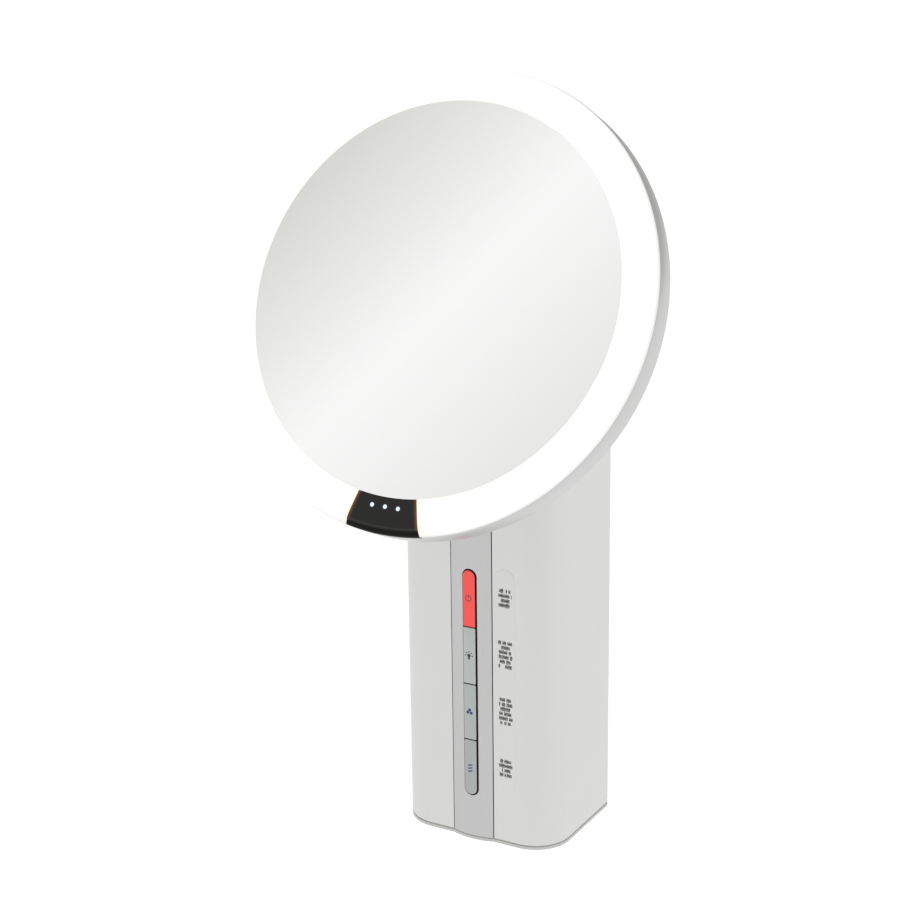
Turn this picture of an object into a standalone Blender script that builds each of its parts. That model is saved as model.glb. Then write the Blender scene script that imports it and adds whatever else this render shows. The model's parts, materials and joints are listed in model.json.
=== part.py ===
"""Lit shaving mirror: a round ring-lit head tilting on a mast that telescopes out of an upright column.

Metres, +Z up. The front faces -Y, the origin is the centre of the base on the table top.
Every physical piece is an object of its own; the mast, the head and the four keys sit under
empties placed on their joint axes.
"""
import bpy
import bmesh
from math import radians, sin, cos, pi
from mathutils import Vector

MM = 0.001
CM = 0.01

# ---- fits -----------------------------------------------------------------------------------
GAP = 0.3 * MM              # between neighbouring mouldings
SEAT = 0.1 * MM             # between a screw or pin and what it bears on
RUN = 0.06 * MM             # radial clearance of anything that slides or turns
PILOT = 0.2 * MM            # radial clearance round a screw

# ---- column ---------------------------------------------------------------------------------
COLUMN_W = 80.4 * MM
COLUMN_D = 60.7 * MM
COLUMN_TOP = 240.0 * MM
FRONT_CORNER = 17.6 * MM
BACK_CORNER = 4.0 * MM
WALL = 2.2 * MM
STRIP_W = 20.6 * MM         # bright control strip let into the front
STRIP_BULGE = 1.8 * MM      # how far its middle stands in front of the flat front
STRIP_FLANGE = 3.2 * MM     # what hides behind the wall on each side
STRIP_DEPTH = 4.0 * MM      # from the flat front to the strip's back
PAD_T = 1.0 * MM
PAD_INSET = 3.0 * MM
BASE_LIFT = 0.5 * MM        # underside of the base plate above the table
BASE_BAND = 1.1 * MM        # visible band of the base plate
BASE_GROOVE = 0.4 * MM      # shadow groove between band and shell
PLUG_H = 4.3 * MM           # how far the base plate reaches into the shell
CAP_T = 3.7 * MM
CAP_SKIRT = 4.0 * MM
BOSS_R = 4.8 * MM
BOSS_H = 12.0 * MM
SCREW_R = 1.4 * MM
SCREW_HEAD_R = 2.9 * MM
SCREW_HEAD_H = 2.0 * MM
FRONT_SCREW = (COLUMN_W / 2 - 9.8 * MM, -COLUMN_D / 2 + 9.85 * MM)
BACK_SCREW = (COLUMN_W / 2 - 6.6 * MM, COLUMN_D / 2 - 6.75 * MM)

# ---- keys and their board -------------------------------------------------------------------
KEY_W = 6.4 * MM
KEY_PITCH = 27.5 * MM
KEYS_BOTTOM = 22.0 * MM
KEY_PARTING = 0.4 * MM
KEY_PROUD = 0.35 * MM
KEY_TRAVEL = 0.8 * MM
KEY_FLANGE = 2.3 * MM       # how far a key's flange passes the slot on each side
FLANGE_T = 1.0 * MM
KEY_NAMES = ("level", "tone", "light", "power")
SLOT_POCKET_W = 13.0 * MM
BOARD_T = 1.4 * MM
BOARD_BACK_Y = -COLUMN_D / 2 + 9.45 * MM
SWITCH_W = 6.0 * MM
LABEL_X = (12.0 * MM, 21.8 * MM)
LABEL_Z = (24.3 * MM, 134.0 * MM)
LABEL_T = 0.6 * MM

# ---- inside the column ----------------------------------------------------------------------
BALLAST = (48.0 * MM, 38.0 * MM, 12.0 * MM)
CHASSIS_W = 60.0 * MM
CHASSIS_T = 2.0 * MM
TIE_X = 18.0 * MM
CAP_SCREW_X = 26.0 * MM
CELL_R = 9.2 * MM
CELL_L = 65.2 * MM
CELL_X = 10.2 * MM
CELL_Y = 14.0 * MM
CELL_Z = 68.0 * MM
PORT_Z = 27.0 * MM
MAIN_BOARD_Y = COLUMN_D / 2 - 8.35 * MM
PORT_W = 9.0 * MM
PORT_H = 3.3 * MM

# ---- mast -----------------------------------------------------------------------------------
MAST_R = 5.0 * MM
MAST_BORE_R = MAST_R - 1.0 * MM
MAST_BOTTOM = 112.0 * MM
GUIDE_BORE_R = MAST_R + 1.3 * MM
GUIDE_R = GUIDE_BORE_R + 1.7 * MM
MAST_Y = BOARD_BACK_Y + 0.9 * MM + GUIDE_R    # the guide stands just behind the key board
GUIDE_BOTTOM = 104.0 * MM
FOOT_H = 11.0 * MM
BUSH_L = 24.0 * MM

# ---- tilting hinge --------------------------------------------------------------------------
PIVOT_Z = COLUMN_TOP + 10.0 * MM
HEAD_TILT = 26.6            # degrees the head leans back as stored
PIN_R = 3.0 * MM
BARREL_R = 6.0 * MM
BARREL_HALF = 6.2 * MM
WASHER_T = 0.8 * MM
EAR_T = 4.0 * MM
EAR_R = 6.5 * MM
HINGE_CAP_T = 2.2 * MM
NECK_T = 10.0 * MM
BRACKET_W = 44.0 * MM
BRACKET_H = 32.0 * MM
BRACKET_T = 3.0 * MM
BRACKET_SCREW = (16.0 * MM, 11.0 * MM)

# ---- head (distances in front of the pivot and below it, then radii) -------------------------
HEAD_REACH = 49.1 * MM      # pivot to the glass face
HEAD_DROP = 12.2 * MM       # pivot to the head's centre
HEAD_T = 14.5 * MM
RIM_R = 100.0 * MM
RIM_WALL = 2.4 * MM
RIM_TOP = 3.0 * MM          # rim's front edge behind the glass face
GLASS_R = 84.7 * MM
GLASS_T = 3.0 * MM
DOME_R = RIM_R - 0.2 * MM
DOME_DROP = 2.0 * MM
DIFFUSER_T = 1.8 * MM
WINDOW_IN = (13.2 * MM, GLASS_R - 0.6 * MM)    # half width of the touch window and how far down
WINDOW_OUT = (16.9 * MM, RIM_R - 2.1 * MM)
WINDOW_LIP = 4.6 * MM
DOT_R = 1.0 * MM
DOT_PITCH = 6.15 * MM
DOT_DOWN = GLASS_R + 3.9 * MM
LED_COUNT = 28
LED_RING = (GLASS_R + 2.1 * MM, RIM_R - 3.8 * MM)
ROUND = 64                  # facets round the head

PARTS = "Lit shaving mirror"
CUTTERS = "Cutters"


# ---- helpers --------------------------------------------------------------------------------
def clear_scene():
    for obj in list(bpy.data.objects):
        bpy.data.objects.remove(obj, do_unlink=True)
    for name in (PARTS, CUTTERS):
        coll = bpy.data.collections.new(name)
        bpy.context.scene.collection.children.link(coll)


def finish_material(name, colour, roughness, metallic):
    mat = bpy.data.materials.new(name)
    mat.use_nodes = True
    shader = mat.node_tree.nodes["Principled BSDF"]
    shader.inputs["Base Color"].default_value = (*colour, 1.0)
    shader.inputs["Roughness"].default_value = roughness
    shader.inputs["Metallic"].default_value = metallic
    mat.diffuse_color = (*colour, 1.0)
    return mat


def part(obj, colour, roughness=0.5, metallic=0.0, parent=None):
    """Files a finished object under the part's collection with a material of its own."""
    for coll in list(obj.users_collection):
        coll.objects.unlink(obj)
    bpy.data.collections[PARTS].objects.link(obj)
    obj.data.materials.clear()
    obj.data.materials.append(finish_material(obj.name + "_finish", colour, roughness, metallic))
    if parent is not None:
        obj.parent = parent
    return obj


def tool(obj, parent=None):
    """Files a cutter: never rendered, drawn as a wire."""
    for coll in list(obj.users_collection):
        coll.objects.unlink(obj)
    bpy.data.collections[CUTTERS].objects.link(obj)
    obj.hide_render = True
    obj.display_type = "WIRE"
    if parent is not None:
        obj.parent = parent
    return obj


def from_bmesh(name, bm):
    bmesh.ops.recalc_face_normals(bm, faces=bm.faces)
    if bm.calc_volume(signed=True) < 0.0:
        bmesh.ops.reverse_faces(bm, faces=bm.faces)
    mesh = bpy.data.meshes.new(name)
    bm.to_mesh(mesh)
    bm.free()
    obj = bpy.data.objects.new(name, mesh)
    bpy.context.scene.collection.objects.link(obj)
    return obj


def box(name, x, y, z):
    """Box between the two limits given on each axis."""
    bm = bmesh.new()
    bmesh.ops.create_cube(bm, size=1.0)
    for v in bm.verts:
        v.co = Vector((x[0] + (v.co.x + 0.5) * (x[1] - x[0]),
                       y[0] + (v.co.y + 0.5) * (y[1] - y[0]),
                       z[0] + (v.co.z + 0.5) * (z[1] - z[0])))
    return from_bmesh(name, bm)


def rod(name, radius, centre, span, axis="Z", facets=18):
    """Cylinder along an axis; centre holds the two other coordinates in order, span its ends."""
    bm = bmesh.new()
    bmesh.ops.create_cone(bm, cap_ends=True, segments=facets, radius1=radius, radius2=radius, depth=1.0)
    for v in bm.verts:
        along = span[0] + (v.co.z + 0.5) * (span[1] - span[0])
        if axis == "Z":
            v.co = Vector((centre[0] + v.co.x, centre[1] + v.co.y, along))
        elif axis == "Y":
            v.co = Vector((centre[0] + v.co.x, along, centre[1] + v.co.y))
        else:
            v.co = Vector((along, centre[0] + v.co.x, centre[1] + v.co.y))
    return from_bmesh(name, bm)


def prism(name, outline, low, high, axis="Z"):
    """Flat outline as a filled curve given a thickness, turned into a mesh between low and high.

    Each end is remade as one face, because a filled curve leaves slivers between points in line.
    """
    curve = bpy.data.curves.new(name + "_outline", "CURVE")
    curve.dimensions = "2D"
    curve.fill_mode = "BOTH"
    curve.extrude = (high - low) / 2
    line = curve.splines.new("POLY")
    line.points.add(len(outline) - 1)
    for point, (u, v) in zip(line.points, outline):
        point.co = (u, v, 0.0, 1.0)
    line.use_cyclic_u = True
    drawn = bpy.data.objects.new(name + "_outline", curve)
    bpy.context.scene.collection.objects.link(drawn)
    bpy.context.view_layer.update()
    mesh = bpy.data.meshes.new_from_object(drawn)
    bpy.data.objects.remove(drawn, do_unlink=True)
    bm = bmesh.new()
    bm.from_mesh(mesh)
    bmesh.ops.remove_doubles(bm, verts=bm.verts, dist=1e-7)
    ends = [f for f in bm.faces if len({v.co.z > 0.0 for v in f.verts}) == 1]
    bmesh.ops.delete(bm, geom=ends, context="FACES")
    bmesh.ops.holes_fill(bm, edges=[e for e in bm.edges if e.is_boundary], sides=0)
    middle = (low + high) / 2
    for v in bm.verts:
        x, y, z = v.co
        v.co = Vector((x, y, z + middle)) if axis == "Z" else Vector((x, z + middle, y))
    bpy.data.meshes.remove(mesh)
    return from_bmesh(name, bm)


def turned(name, profile, closed=True, facets=ROUND):
    """Solid of revolution about the object's own Z from (radius, height) points."""
    mesh = bpy.data.meshes.new(name)
    edges = [(i, i + 1) for i in range(len(profile) - 1)]
    if closed:
        edges.append((len(profile) - 1, 0))
    mesh.from_pydata([(r, 0.0, z) for r, z in profile], edges, [])
    obj = bpy.data.objects.new(name, mesh)
    bpy.context.scene.collection.objects.link(obj)
    screw = obj.modifiers.new("Turned", "SCREW")
    screw.angle = 2 * pi
    screw.steps = facets
    screw.render_steps = facets
    screw.use_merge_vertices = True
    screw.merge_threshold = 1e-6
    return obj


def ring_profile(inner, outer, bottom, top, edge=0.0):
    """Rectangle with eased outer corners, running down the outer side and back up the inner one."""
    if not edge:
        return [(outer, top), (outer, bottom), (inner, bottom), (inner, top)]
    return [(outer - edge, top), (outer, top - edge), (outer, bottom + edge), (outer - edge, bottom),
            (inner, bottom), (inner, top)]


def boolean(obj, other, operation):
    mod = obj.modifiers.new(operation.title() + " " + other.name, "BOOLEAN")
    mod.operation = operation
    mod.solver = "EXACT"
    mod.object = other
    return obj


def cut(obj, other):
    return boolean(obj, tool(other, obj.parent), "DIFFERENCE")


def join(obj, other):
    return boolean(obj, tool(other, obj.parent), "UNION")


def soften(obj, width, segments=2, angle=30.0):
    bevel = obj.modifiers.new("Eased edges", "BEVEL")
    bevel.width = width
    bevel.segments = segments
    bevel.limit_method = "ANGLE"
    bevel.angle_limit = radians(angle)
    bevel.harden_normals = False
    return obj


def smooth(obj, angle=35.0):
    """Smooth shading with sharp edges kept, for plain meshes."""
    mesh = obj.data
    mesh.shade_smooth()
    mesh.set_sharp_from_angle(angle=radians(angle))
    return obj


def arc(cx, cy, radius, start, end, steps):
    return [(cx + radius * cos(radians(start + (end - start) * i / steps)),
             cy + radius * sin(radians(start + (end - start) * i / steps))) for i in range(steps + 1)]


def column_path(inset, front_x, steps=8):
    """Column outline from the right of the front middle round the back to the left, moved in."""
    w, d = COLUMN_W / 2 - inset, COLUMN_D / 2 - inset
    front = FRONT_CORNER - inset
    back = max(BACK_CORNER - inset, 0.6 * MM)
    return ([(front_x, -d)] + arc(w - front, -d + front, front, -90, 0, steps)
            + arc(w - back, d - back, back, 0, 90, 3) + arc(-w + back, d - back, back, 90, 180, 3)
            + arc(-w + front, -d + front, front, 180, 270, steps) + [(-front_x, -d)])


def bulge_path(half, inset=0.0, steps=13):
    """Bowed front of the control strip from left to right, excluding its two ends."""
    front = -COLUMN_D / 2 + inset
    points = []
    for i in range(1, steps):
        x = -half + 2 * half * i / steps
        points.append((x, front - STRIP_BULGE * (1 - (x / half) ** 2)))
    return points


def full_outline(inset):
    """Whole plan outline, bowed where the strip is."""
    return column_path(inset, STRIP_W / 2) + bulge_path(STRIP_W / 2, inset)


def dome(radius):
    """Height of the light ring's face at a radius, measured back from the glass face."""
    start = GLASS_R + GAP
    u = (radius - start) / (DOME_R - start)
    return -DOME_DROP * max(u, 0.0) ** 2.5


def dome_profile(last_radius, steps=5):
    """Points of the light ring's face from the outside in."""
    start = GLASS_R + GAP
    radii = [start + (last_radius - start) * i / steps for i in range(steps, -1, -1)]
    return [(r, dome(r)) for r in radii]


def on_axis(name, location, tilt=0.0):
    """Empty on a joint axis that carries the moving pieces."""
    empty = bpy.data.objects.new(name, None)
    bpy.data.collections[PARTS].objects.link(empty)
    empty.location = location
    empty.rotation_euler = (radians(tilt), 0.0, 0.0)
    empty.empty_display_size = 0.02
    return empty


# ---- column pieces --------------------------------------------------------------------------
SHELL_BOTTOM = BASE_LIFT + BASE_BAND + BASE_GROOVE
SHELL_TOP = COLUMN_TOP - CAP_T - GAP
PLATE_TOP = SHELL_BOTTOM + PLUG_H
POCKET_TOP = PAD_T + GAP
HEAD_SEAT = POCKET_TOP + SCREW_HEAD_H + 2 * SEAT
BALLAST_BOTTOM = PLATE_TOP + GAP
CHASSIS_BOTTOM = BALLAST_BOTTOM + BALLAST[2] + GAP
FRONT_Y = -COLUMN_D / 2
STRIP_BACK = FRONT_Y + STRIP_DEPTH
PLATE_SCREWS = [("front_left", (-FRONT_SCREW[0], FRONT_SCREW[1])), ("front_right", FRONT_SCREW),
                ("back_left", (-BACK_SCREW[0], BACK_SCREW[1])), ("back_right", BACK_SCREW)]
TIES = [("left", -TIE_X), ("right", TIE_X)]


def make_pad():
    pad = prism("anti_slip_pad", full_outline(PAD_INSET), 0.0, PAD_T)
    return part(pad, (0.03, 0.03, 0.03), 0.85)


def make_base_plate():
    plate = prism("base_plate", full_outline(0.0), BASE_LIFT, BASE_LIFT + BASE_BAND)
    smooth(plate)
    part(plate, (0.74, 0.74, 0.73), 0.35, 0.3)
    join(plate, prism("base_plug_form", column_path(WALL + GAP, STRIP_W / 2 + 3 * GAP),
                      BASE_LIFT + BASE_BAND / 2, PLATE_TOP))
    cut(plate, box("strip_foot_relief", (-STRIP_W / 2 - STRIP_FLANGE - GAP, STRIP_W / 2 + STRIP_FLANGE + GAP),
                   (FRONT_Y - CM, STRIP_BACK + GAP), (SHELL_BOTTOM - GAP, PLATE_TOP + MM)))
    cut(plate, prism("pad_pocket_form", full_outline(PAD_INSET - GAP), -MM, POCKET_TOP))
    for name, (x, y) in PLATE_SCREWS:
        cut(plate, rod("counterbore_" + name, SCREW_HEAD_R + GAP, (x, y), (0.0, HEAD_SEAT)))
        cut(plate, rod("screw_way_" + name, SCREW_R + PILOT, (x, y), (0.0, 0.02)))
    for name, x in TIES:
        cut(plate, rod("tie_counterbore_" + name, SCREW_HEAD_R + GAP, (x, 0.0), (0.0, HEAD_SEAT)))
        cut(plate, rod("tie_way_" + name, SCREW_R + PILOT, (x, 0.0), (0.0, 0.02)))
    return plate


def make_screw(name, x, y, low, high, head_at_top=False, parent=None, drive_r=1.1 * MM):
    """Pan-head screw standing along Z between low and high, with a socket in its head."""
    if head_at_top:
        profile = [(0.0, high), (SCREW_HEAD_R * 0.8, high), (SCREW_HEAD_R, high - SCREW_HEAD_H * 0.5),
                   (SCREW_HEAD_R, high - SCREW_HEAD_H), (SCREW_R, high - SCREW_HEAD_H),
                   (SCREW_R, low + SCREW_R), (SCREW_R * 0.4, low), (0.0, low)]
    else:
        profile = [(0.0, high), (SCREW_R * 0.4, high), (SCREW_R, high - SCREW_R),
                   (SCREW_R, low + SCREW_HEAD_H), (SCREW_HEAD_R, low + SCREW_HEAD_H),
                   (SCREW_HEAD_R, low + SCREW_HEAD_H * 0.5), (SCREW_HEAD_R * 0.8, low), (0.0, low)]
    screw = turned(name, profile, closed=False, facets=14)
    screw.location = (x, y, 0.0)
    part(screw, (0.55, 0.55, 0.57), 0.3, 1.0, parent)
    socket = (high - 0.9 * MM, high + MM) if head_at_top else (low - MM, low + 0.9 * MM)
    hole = rod(name + "_socket", drive_r, (0.0, 0.0), socket, facets=6)
    hole.location = (x, y, 0.0)
    cut(screw, hole)
    return screw


def make_plate_screws():
    for name, (x, y) in PLATE_SCREWS:
        make_screw("base_screw_" + name, x, y, POCKET_TOP + SEAT, BASE_LIFT + 13.0 * MM)
    for name, x in TIES:
        make_screw("tie_screw_" + name, x, 0.0, POCKET_TOP + SEAT, CHASSIS_BOTTOM + 9.0 * MM)


def make_ballast():
    block = box("ballast_weight", (-BALLAST[0] / 2, BALLAST[0] / 2), (-BALLAST[1] / 2, BALLAST[1] / 2),
                (BALLAST_BOTTOM, BALLAST_BOTTOM + BALLAST[2]))
    part(block, (0.32, 0.33, 0.35), 0.5, 1.0)
    soften(block, 1.2 * MM, 1)
    for name, x in TIES:
        cut(block, rod("ballast_way_" + name, SCREW_R + 2 * PILOT, (x, 0.0), (0.0, 0.04)))
    return block


def make_shell():
    gap_x = STRIP_W / 2 + GAP
    outer = column_path(0.0, gap_x)
    inner = column_path(WALL, gap_x)
    shell = prism("column_shell", outer + inner[::-1], SHELL_BOTTOM, SHELL_TOP)
    smooth(shell)
    part(shell, (0.80, 0.80, 0.79), 0.32, 0.35)
    for name, (x, y) in PLATE_SCREWS:
        join(shell, rod("boss_" + name, BOSS_R, (x, y), (PLATE_TOP + GAP, PLATE_TOP + GAP + BOSS_H)))
    for name, (x, y) in PLATE_SCREWS:
        cut(shell, rod("pilot_" + name, SCREW_R + PILOT, (x, y), (PLATE_TOP - MM, PLATE_TOP + BOSS_H + 2 * MM)))
    middle = (LABEL_X[0] + LABEL_X[1]) / 2
    half = (LABEL_X[1] - LABEL_X[0]) / 2 + 0.1 * MM
    recess = stadium(middle, LABEL_Z[0] - 0.1 * MM, LABEL_Z[1] + 0.1 * MM, half)
    cut(shell, prism("label_recess", recess, FRONT_Y - MM, FRONT_Y + LABEL_T + SEAT, "Y"))
    cut(shell, prism("charge_slot", slot_outline(PORT_W / 2 + GAP, PORT_H / 2 + GAP, PORT_Z),
                     COLUMN_D / 2 - CM, COLUMN_D / 2 + CM, "Y"))
    return shell


def stadium(middle, low, high, half, steps=10):
    """Upright rounded-end slot outline in X and Z."""
    return (arc(middle, high - half, half, 0, 180, steps) + arc(middle, low + half, half, 180, 360, steps))


def slot_outline(half_w, half_h, z, steps=6):
    """Lying rounded-end slot outline in X and Z."""
    r = half_h
    return arc(half_w - r, z, r, -90, 90, steps) + arc(-half_w + r, z, r, 90, 270, steps)


def make_label():
    middle = (LABEL_X[0] + LABEL_X[1]) / 2
    half = (LABEL_X[1] - LABEL_X[0]) / 2
    label = prism("label_panel", stadium(middle, LABEL_Z[0], LABEL_Z[1], half),
                  FRONT_Y, FRONT_Y + LABEL_T, "Y")
    smooth(label)
    return part(label, (0.66, 0.66, 0.65), 0.5)


def make_strip():
    half, flange = STRIP_W / 2, STRIP_W / 2 + STRIP_FLANGE
    ledge = FRONT_Y + WALL + GAP
    outline = ([(half, FRONT_Y), (half, ledge), (flange, ledge), (flange, STRIP_BACK),
                (-flange, STRIP_BACK), (-flange, ledge), (-half, ledge), (-half, FRONT_Y)]
               + bulge_path(half))
    strip = prism("control_strip", outline, SHELL_BOTTOM, SHELL_TOP)
    smooth(strip)
    part(strip, (0.52, 0.54, 0.56), 0.28, 1.0)
    low, high = KEYS_BOTTOM, KEYS_BOTTOM + 4 * KEY_PITCH
    cut(strip, prism("key_slot", stadium(0.0, low - GAP, high + GAP, KEY_W / 2 + GAP), FRONT_Y - CM, FRONT_Y + CM, "Y"))
    cut(strip, box("key_pocket", (-SLOT_POCKET_W / 2, SLOT_POCKET_W / 2), (STRIP_BACK - 2.2 * MM, FRONT_Y + CM),
                   (low - 4 * MM, high + 4 * MM)))
    for name, z in (("low", low - 10 * MM), ("high", high + 10 * MM)):
        join(strip, rod("board_post_" + name, 3.0 * MM, (0.0, z), (STRIP_BACK - MM, BOARD_BACK_Y - BOARD_T - SEAT), "Y"))
        join(strip, rod("board_stake_" + name, 1.3 * MM, (0.0, z), (STRIP_BACK - MM, BOARD_BACK_Y + 0.4 * MM), "Y", 16))
    return strip


def key_centre(index):
    return KEYS_BOTTOM + (index + 0.5) * KEY_PITCH


def make_keys():
    """Four sprung keys; the lowest and the highest have a rounded end."""
    half = KEY_W / 2
    inner_face = STRIP_BACK - 2.2 * MM
    for index, key_name in enumerate(KEY_NAMES):
        z = key_centre(index)
        axis = on_axis("key_axis_" + key_name, (0.0, FRONT_Y, z))
        tall = KEY_PITCH / 2 - KEY_PARTING / 2
        bottom = arc(0.0, -tall + half, half, 180, 360, 10) if index == 0 else [(-half, -tall), (half, -tall)]
        top = arc(0.0, tall - half, half, 0, 180, 10) if index == 3 else [(half, tall), (-half, tall)]
        face = -STRIP_BULGE - KEY_PROUD
        back = inner_face - FRONT_Y + 1.3 * MM
        key = prism("key_" + key_name, bottom + top, face, back - FLANGE_T / 2, "Y")
        smooth(key, 60)
        colour = (0.80, 0.075, 0.07) if key_name == "power" else (0.39, 0.42, 0.42)
        part(key, colour, 0.4, 0.0, axis)
        soften(key, 0.25 * MM, 1, 60)
        low = -tall + (half * 0.6 if index == 0 else 0.5 * MM)
        high = tall - (half * 0.6 if index == 3 else 0.5 * MM)
        join(key, box("key_flange_" + key_name, (-half - KEY_FLANGE, half + KEY_FLANGE),
                      (back - FLANGE_T, back), (low, high)))


def make_switches():
    """Tact switches standing on the key board, plungers just behind the keys' stroke."""
    board_front = BOARD_BACK_Y - BOARD_T
    stroke_end = STRIP_BACK - 2.2 * MM + 1.3 * MM + KEY_TRAVEL
    for index, key_name in enumerate(KEY_NAMES):
        z = key_centre(index)
        switch = box("switch_" + key_name, (-SWITCH_W / 2, SWITCH_W / 2),
                     (stroke_end + 0.8 * MM, board_front - SEAT), (z - SWITCH_W / 2, z + SWITCH_W / 2))
        part(switch, (0.12, 0.12, 0.13), 0.5)
        join(switch, rod("plunger_" + key_name, 1.6 * MM, (0.0, z),
                         (stroke_end + SEAT, stroke_end + 1.5 * MM), "Y", 20))


def make_key_board():
    low, high = KEYS_BOTTOM, KEYS_BOTTOM + 4 * KEY_PITCH
    board = box("key_board", (-9.5 * MM, 9.5 * MM), (BOARD_BACK_Y - BOARD_T, BOARD_BACK_Y),
                (low - 14 * MM, high + 14 * MM))
    part(board, (0.03, 0.22, 0.10), 0.5)
    for name, z in (("low", low - 10 * MM), ("high", high + 10 * MM)):
        cut(board, rod("stake_hole_" + name, 1.3 * MM + PILOT, (0.0, z), (BOARD_BACK_Y - CM, BOARD_BACK_Y + CM), "Y", 16))
    return board


def make_top_cap():
    cap = prism("top_cap", full_outline(0.0), COLUMN_TOP - CAP_T, COLUMN_TOP)
    smooth(cap)
    part(cap, (0.78, 0.78, 0.77), 0.32, 0.35)
    soften(cap, 1.2 * MM, 2, 60)
    skirt = (column_path(WALL + GAP, 15.0 * MM) + column_path(WALL + GAP + 1.6 * MM, 15.0 * MM)[::-1])
    join(cap, prism("cap_skirt", skirt, COLUMN_TOP - CAP_T - CAP_SKIRT, COLUMN_TOP - CAP_T / 2))
    cut(cap, rod("mast_way", MAST_R + 2 * GAP, (0.0, MAST_Y), (COLUMN_TOP - 2 * CM, COLUMN_TOP + CM), facets=32))
    for name, x in (("left", -CAP_SCREW_X), ("right", CAP_SCREW_X)):
        cut(cap, rod("cap_counterbore_" + name, SCREW_HEAD_R + GAP, (x, 0.0),
                     (COLUMN_TOP - SCREW_HEAD_H - SEAT, COLUMN_TOP + CM)))
        cut(cap, rod("cap_way_" + name, SCREW_R + PILOT, (x, 0.0), (COLUMN_TOP - CM, COLUMN_TOP + CM)))
    return cap


def make_cap_screws():
    for name, x in (("left", -CAP_SCREW_X), ("right", CAP_SCREW_X)):
        make_screw("cap_screw_" + name, x, 0.0, COLUMN_TOP - 14.0 * MM, COLUMN_TOP, head_at_top=True)


def make_chassis():
    """Upright moulded frame bolted between the base and the cap; carries the guide and the cells."""
    t = CHASSIS_T / 2
    chassis = box("inner_chassis", (-CHASSIS_W / 2, CHASSIS_W / 2), (-t, t),
                  (CHASSIS_BOTTOM, SHELL_TOP - 2 * MM))
    part(chassis, (0.20, 0.20, 0.21), 0.6)
    for name, low in (("low", GUIDE_BOTTOM + 8.0 * MM), ("high", SHELL_TOP - 40.0 * MM)):
        join(chassis, box("saddle_" + name, (-12.0 * MM, 12.0 * MM), (MAST_Y - 3.0 * MM, 0.0), (low, low + 6 * MM)))
    for name, x in TIES:
        join(chassis, rod("tie_boss_" + name, 4.0 * MM, (x, 0.0), (CHASSIS_BOTTOM, CHASSIS_BOTTOM + 12 * MM)))
    for name, x in (("left", -CAP_SCREW_X), ("right", CAP_SCREW_X)):
        join(chassis, rod("cap_boss_" + name, 3.8 * MM, (x, 0.0), (SHELL_TOP - 26.0 * MM, SHELL_TOP)))
        cut(chassis, rod("cap_pilot_" + name, SCREW_R + PILOT, (x, 0.0), (SHELL_TOP - 14.0 * MM, SHELL_TOP + CM)))
    for name, x in TIES:
        cut(chassis, rod("tie_pilot_" + name, SCREW_R + PILOT, (x, 0.0), (0.0, CHASSIS_BOTTOM + 10.5 * MM)))
    cut(chassis, rod("guide_bore", GUIDE_R + SEAT, (0.0, MAST_Y), (GUIDE_BOTTOM - CM, SHELL_TOP + CM), facets=32))
    return chassis


def make_battery():
    holder = box("battery_holder", (-CELL_X - 11.0 * MM, CELL_X + 11.0 * MM),
                 (CHASSIS_T / 2 + GAP, CELL_Y + 3.0 * MM), (CELL_Z - 4 * MM, CELL_Z + CELL_L + 4 * MM))
    part(holder, (0.07, 0.07, 0.08), 0.6)
    for name, x in (("left", -CELL_X), ("right", CELL_X)):
        cut(holder, rod("cell_bay_" + name, CELL_R + GAP, (x, CELL_Y), (CELL_Z - MM, CELL_Z + CELL_L + MM), facets=28))
        top = CELL_Z + CELL_L
        profile = [(0.0, top), (2.8 * MM, top), (2.8 * MM, top - MM), (CELL_R - 0.6 * MM, top - MM),
                   (CELL_R, top - 1.6 * MM), (CELL_R, CELL_Z + 0.6 * MM), (CELL_R - 0.6 * MM, CELL_Z), (0.0, CELL_Z)]
        cell = turned("battery_cell_" + name, profile, closed=False, facets=28)
        cell.location = (x, CELL_Y, 0.0)
        part(cell, (0.05, 0.16, 0.34), 0.4)
    return holder


def make_main_board():
    back = MAIN_BOARD_Y
    board = box("main_board", (-22.0 * MM, 22.0 * MM), (back - 1.6 * MM, back), (21.0 * MM, 60.0 * MM))
    part(board, (0.03, 0.20, 0.10), 0.5)
    join(board, box("choke_form", (6.0 * MM, 14.0 * MM), (back - 5.6 * MM, back - MM), (40.0 * MM, 48.0 * MM)))
    join(board, box("chip_form", (-12.0 * MM, -5.0 * MM), (back - 2.8 * MM, back - MM), (34.0 * MM, 41.0 * MM)))
    join(board, box("socket_form", (-14.0 * MM, -2.0 * MM), (back - 6.0 * MM, back - MM), (50.0 * MM, 56.0 * MM)))
    return board


def make_charge_port():
    back = COLUMN_D / 2 - 0.4 * MM
    port = prism("charge_port", slot_outline(PORT_W / 2, PORT_H / 2, PORT_Z), MAIN_BOARD_Y + GAP, back, "Y")
    smooth(port)
    part(port, (0.60, 0.60, 0.62), 0.3, 1.0)
    cut(port, prism("plug_bay", slot_outline(PORT_W / 2 - 0.4 * MM, PORT_H / 2 - 0.4 * MM, PORT_Z),
                    MAIN_BOARD_Y + 2.0 * MM, back + MM, "Y"))
    join(port, box("port_tongue", (-3.3 * MM, 3.3 * MM), (MAIN_BOARD_Y + 1.5 * MM, back - MM),
                   (PORT_Z - 0.35 * MM, PORT_Z + 0.35 * MM)))
    return port


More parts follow.
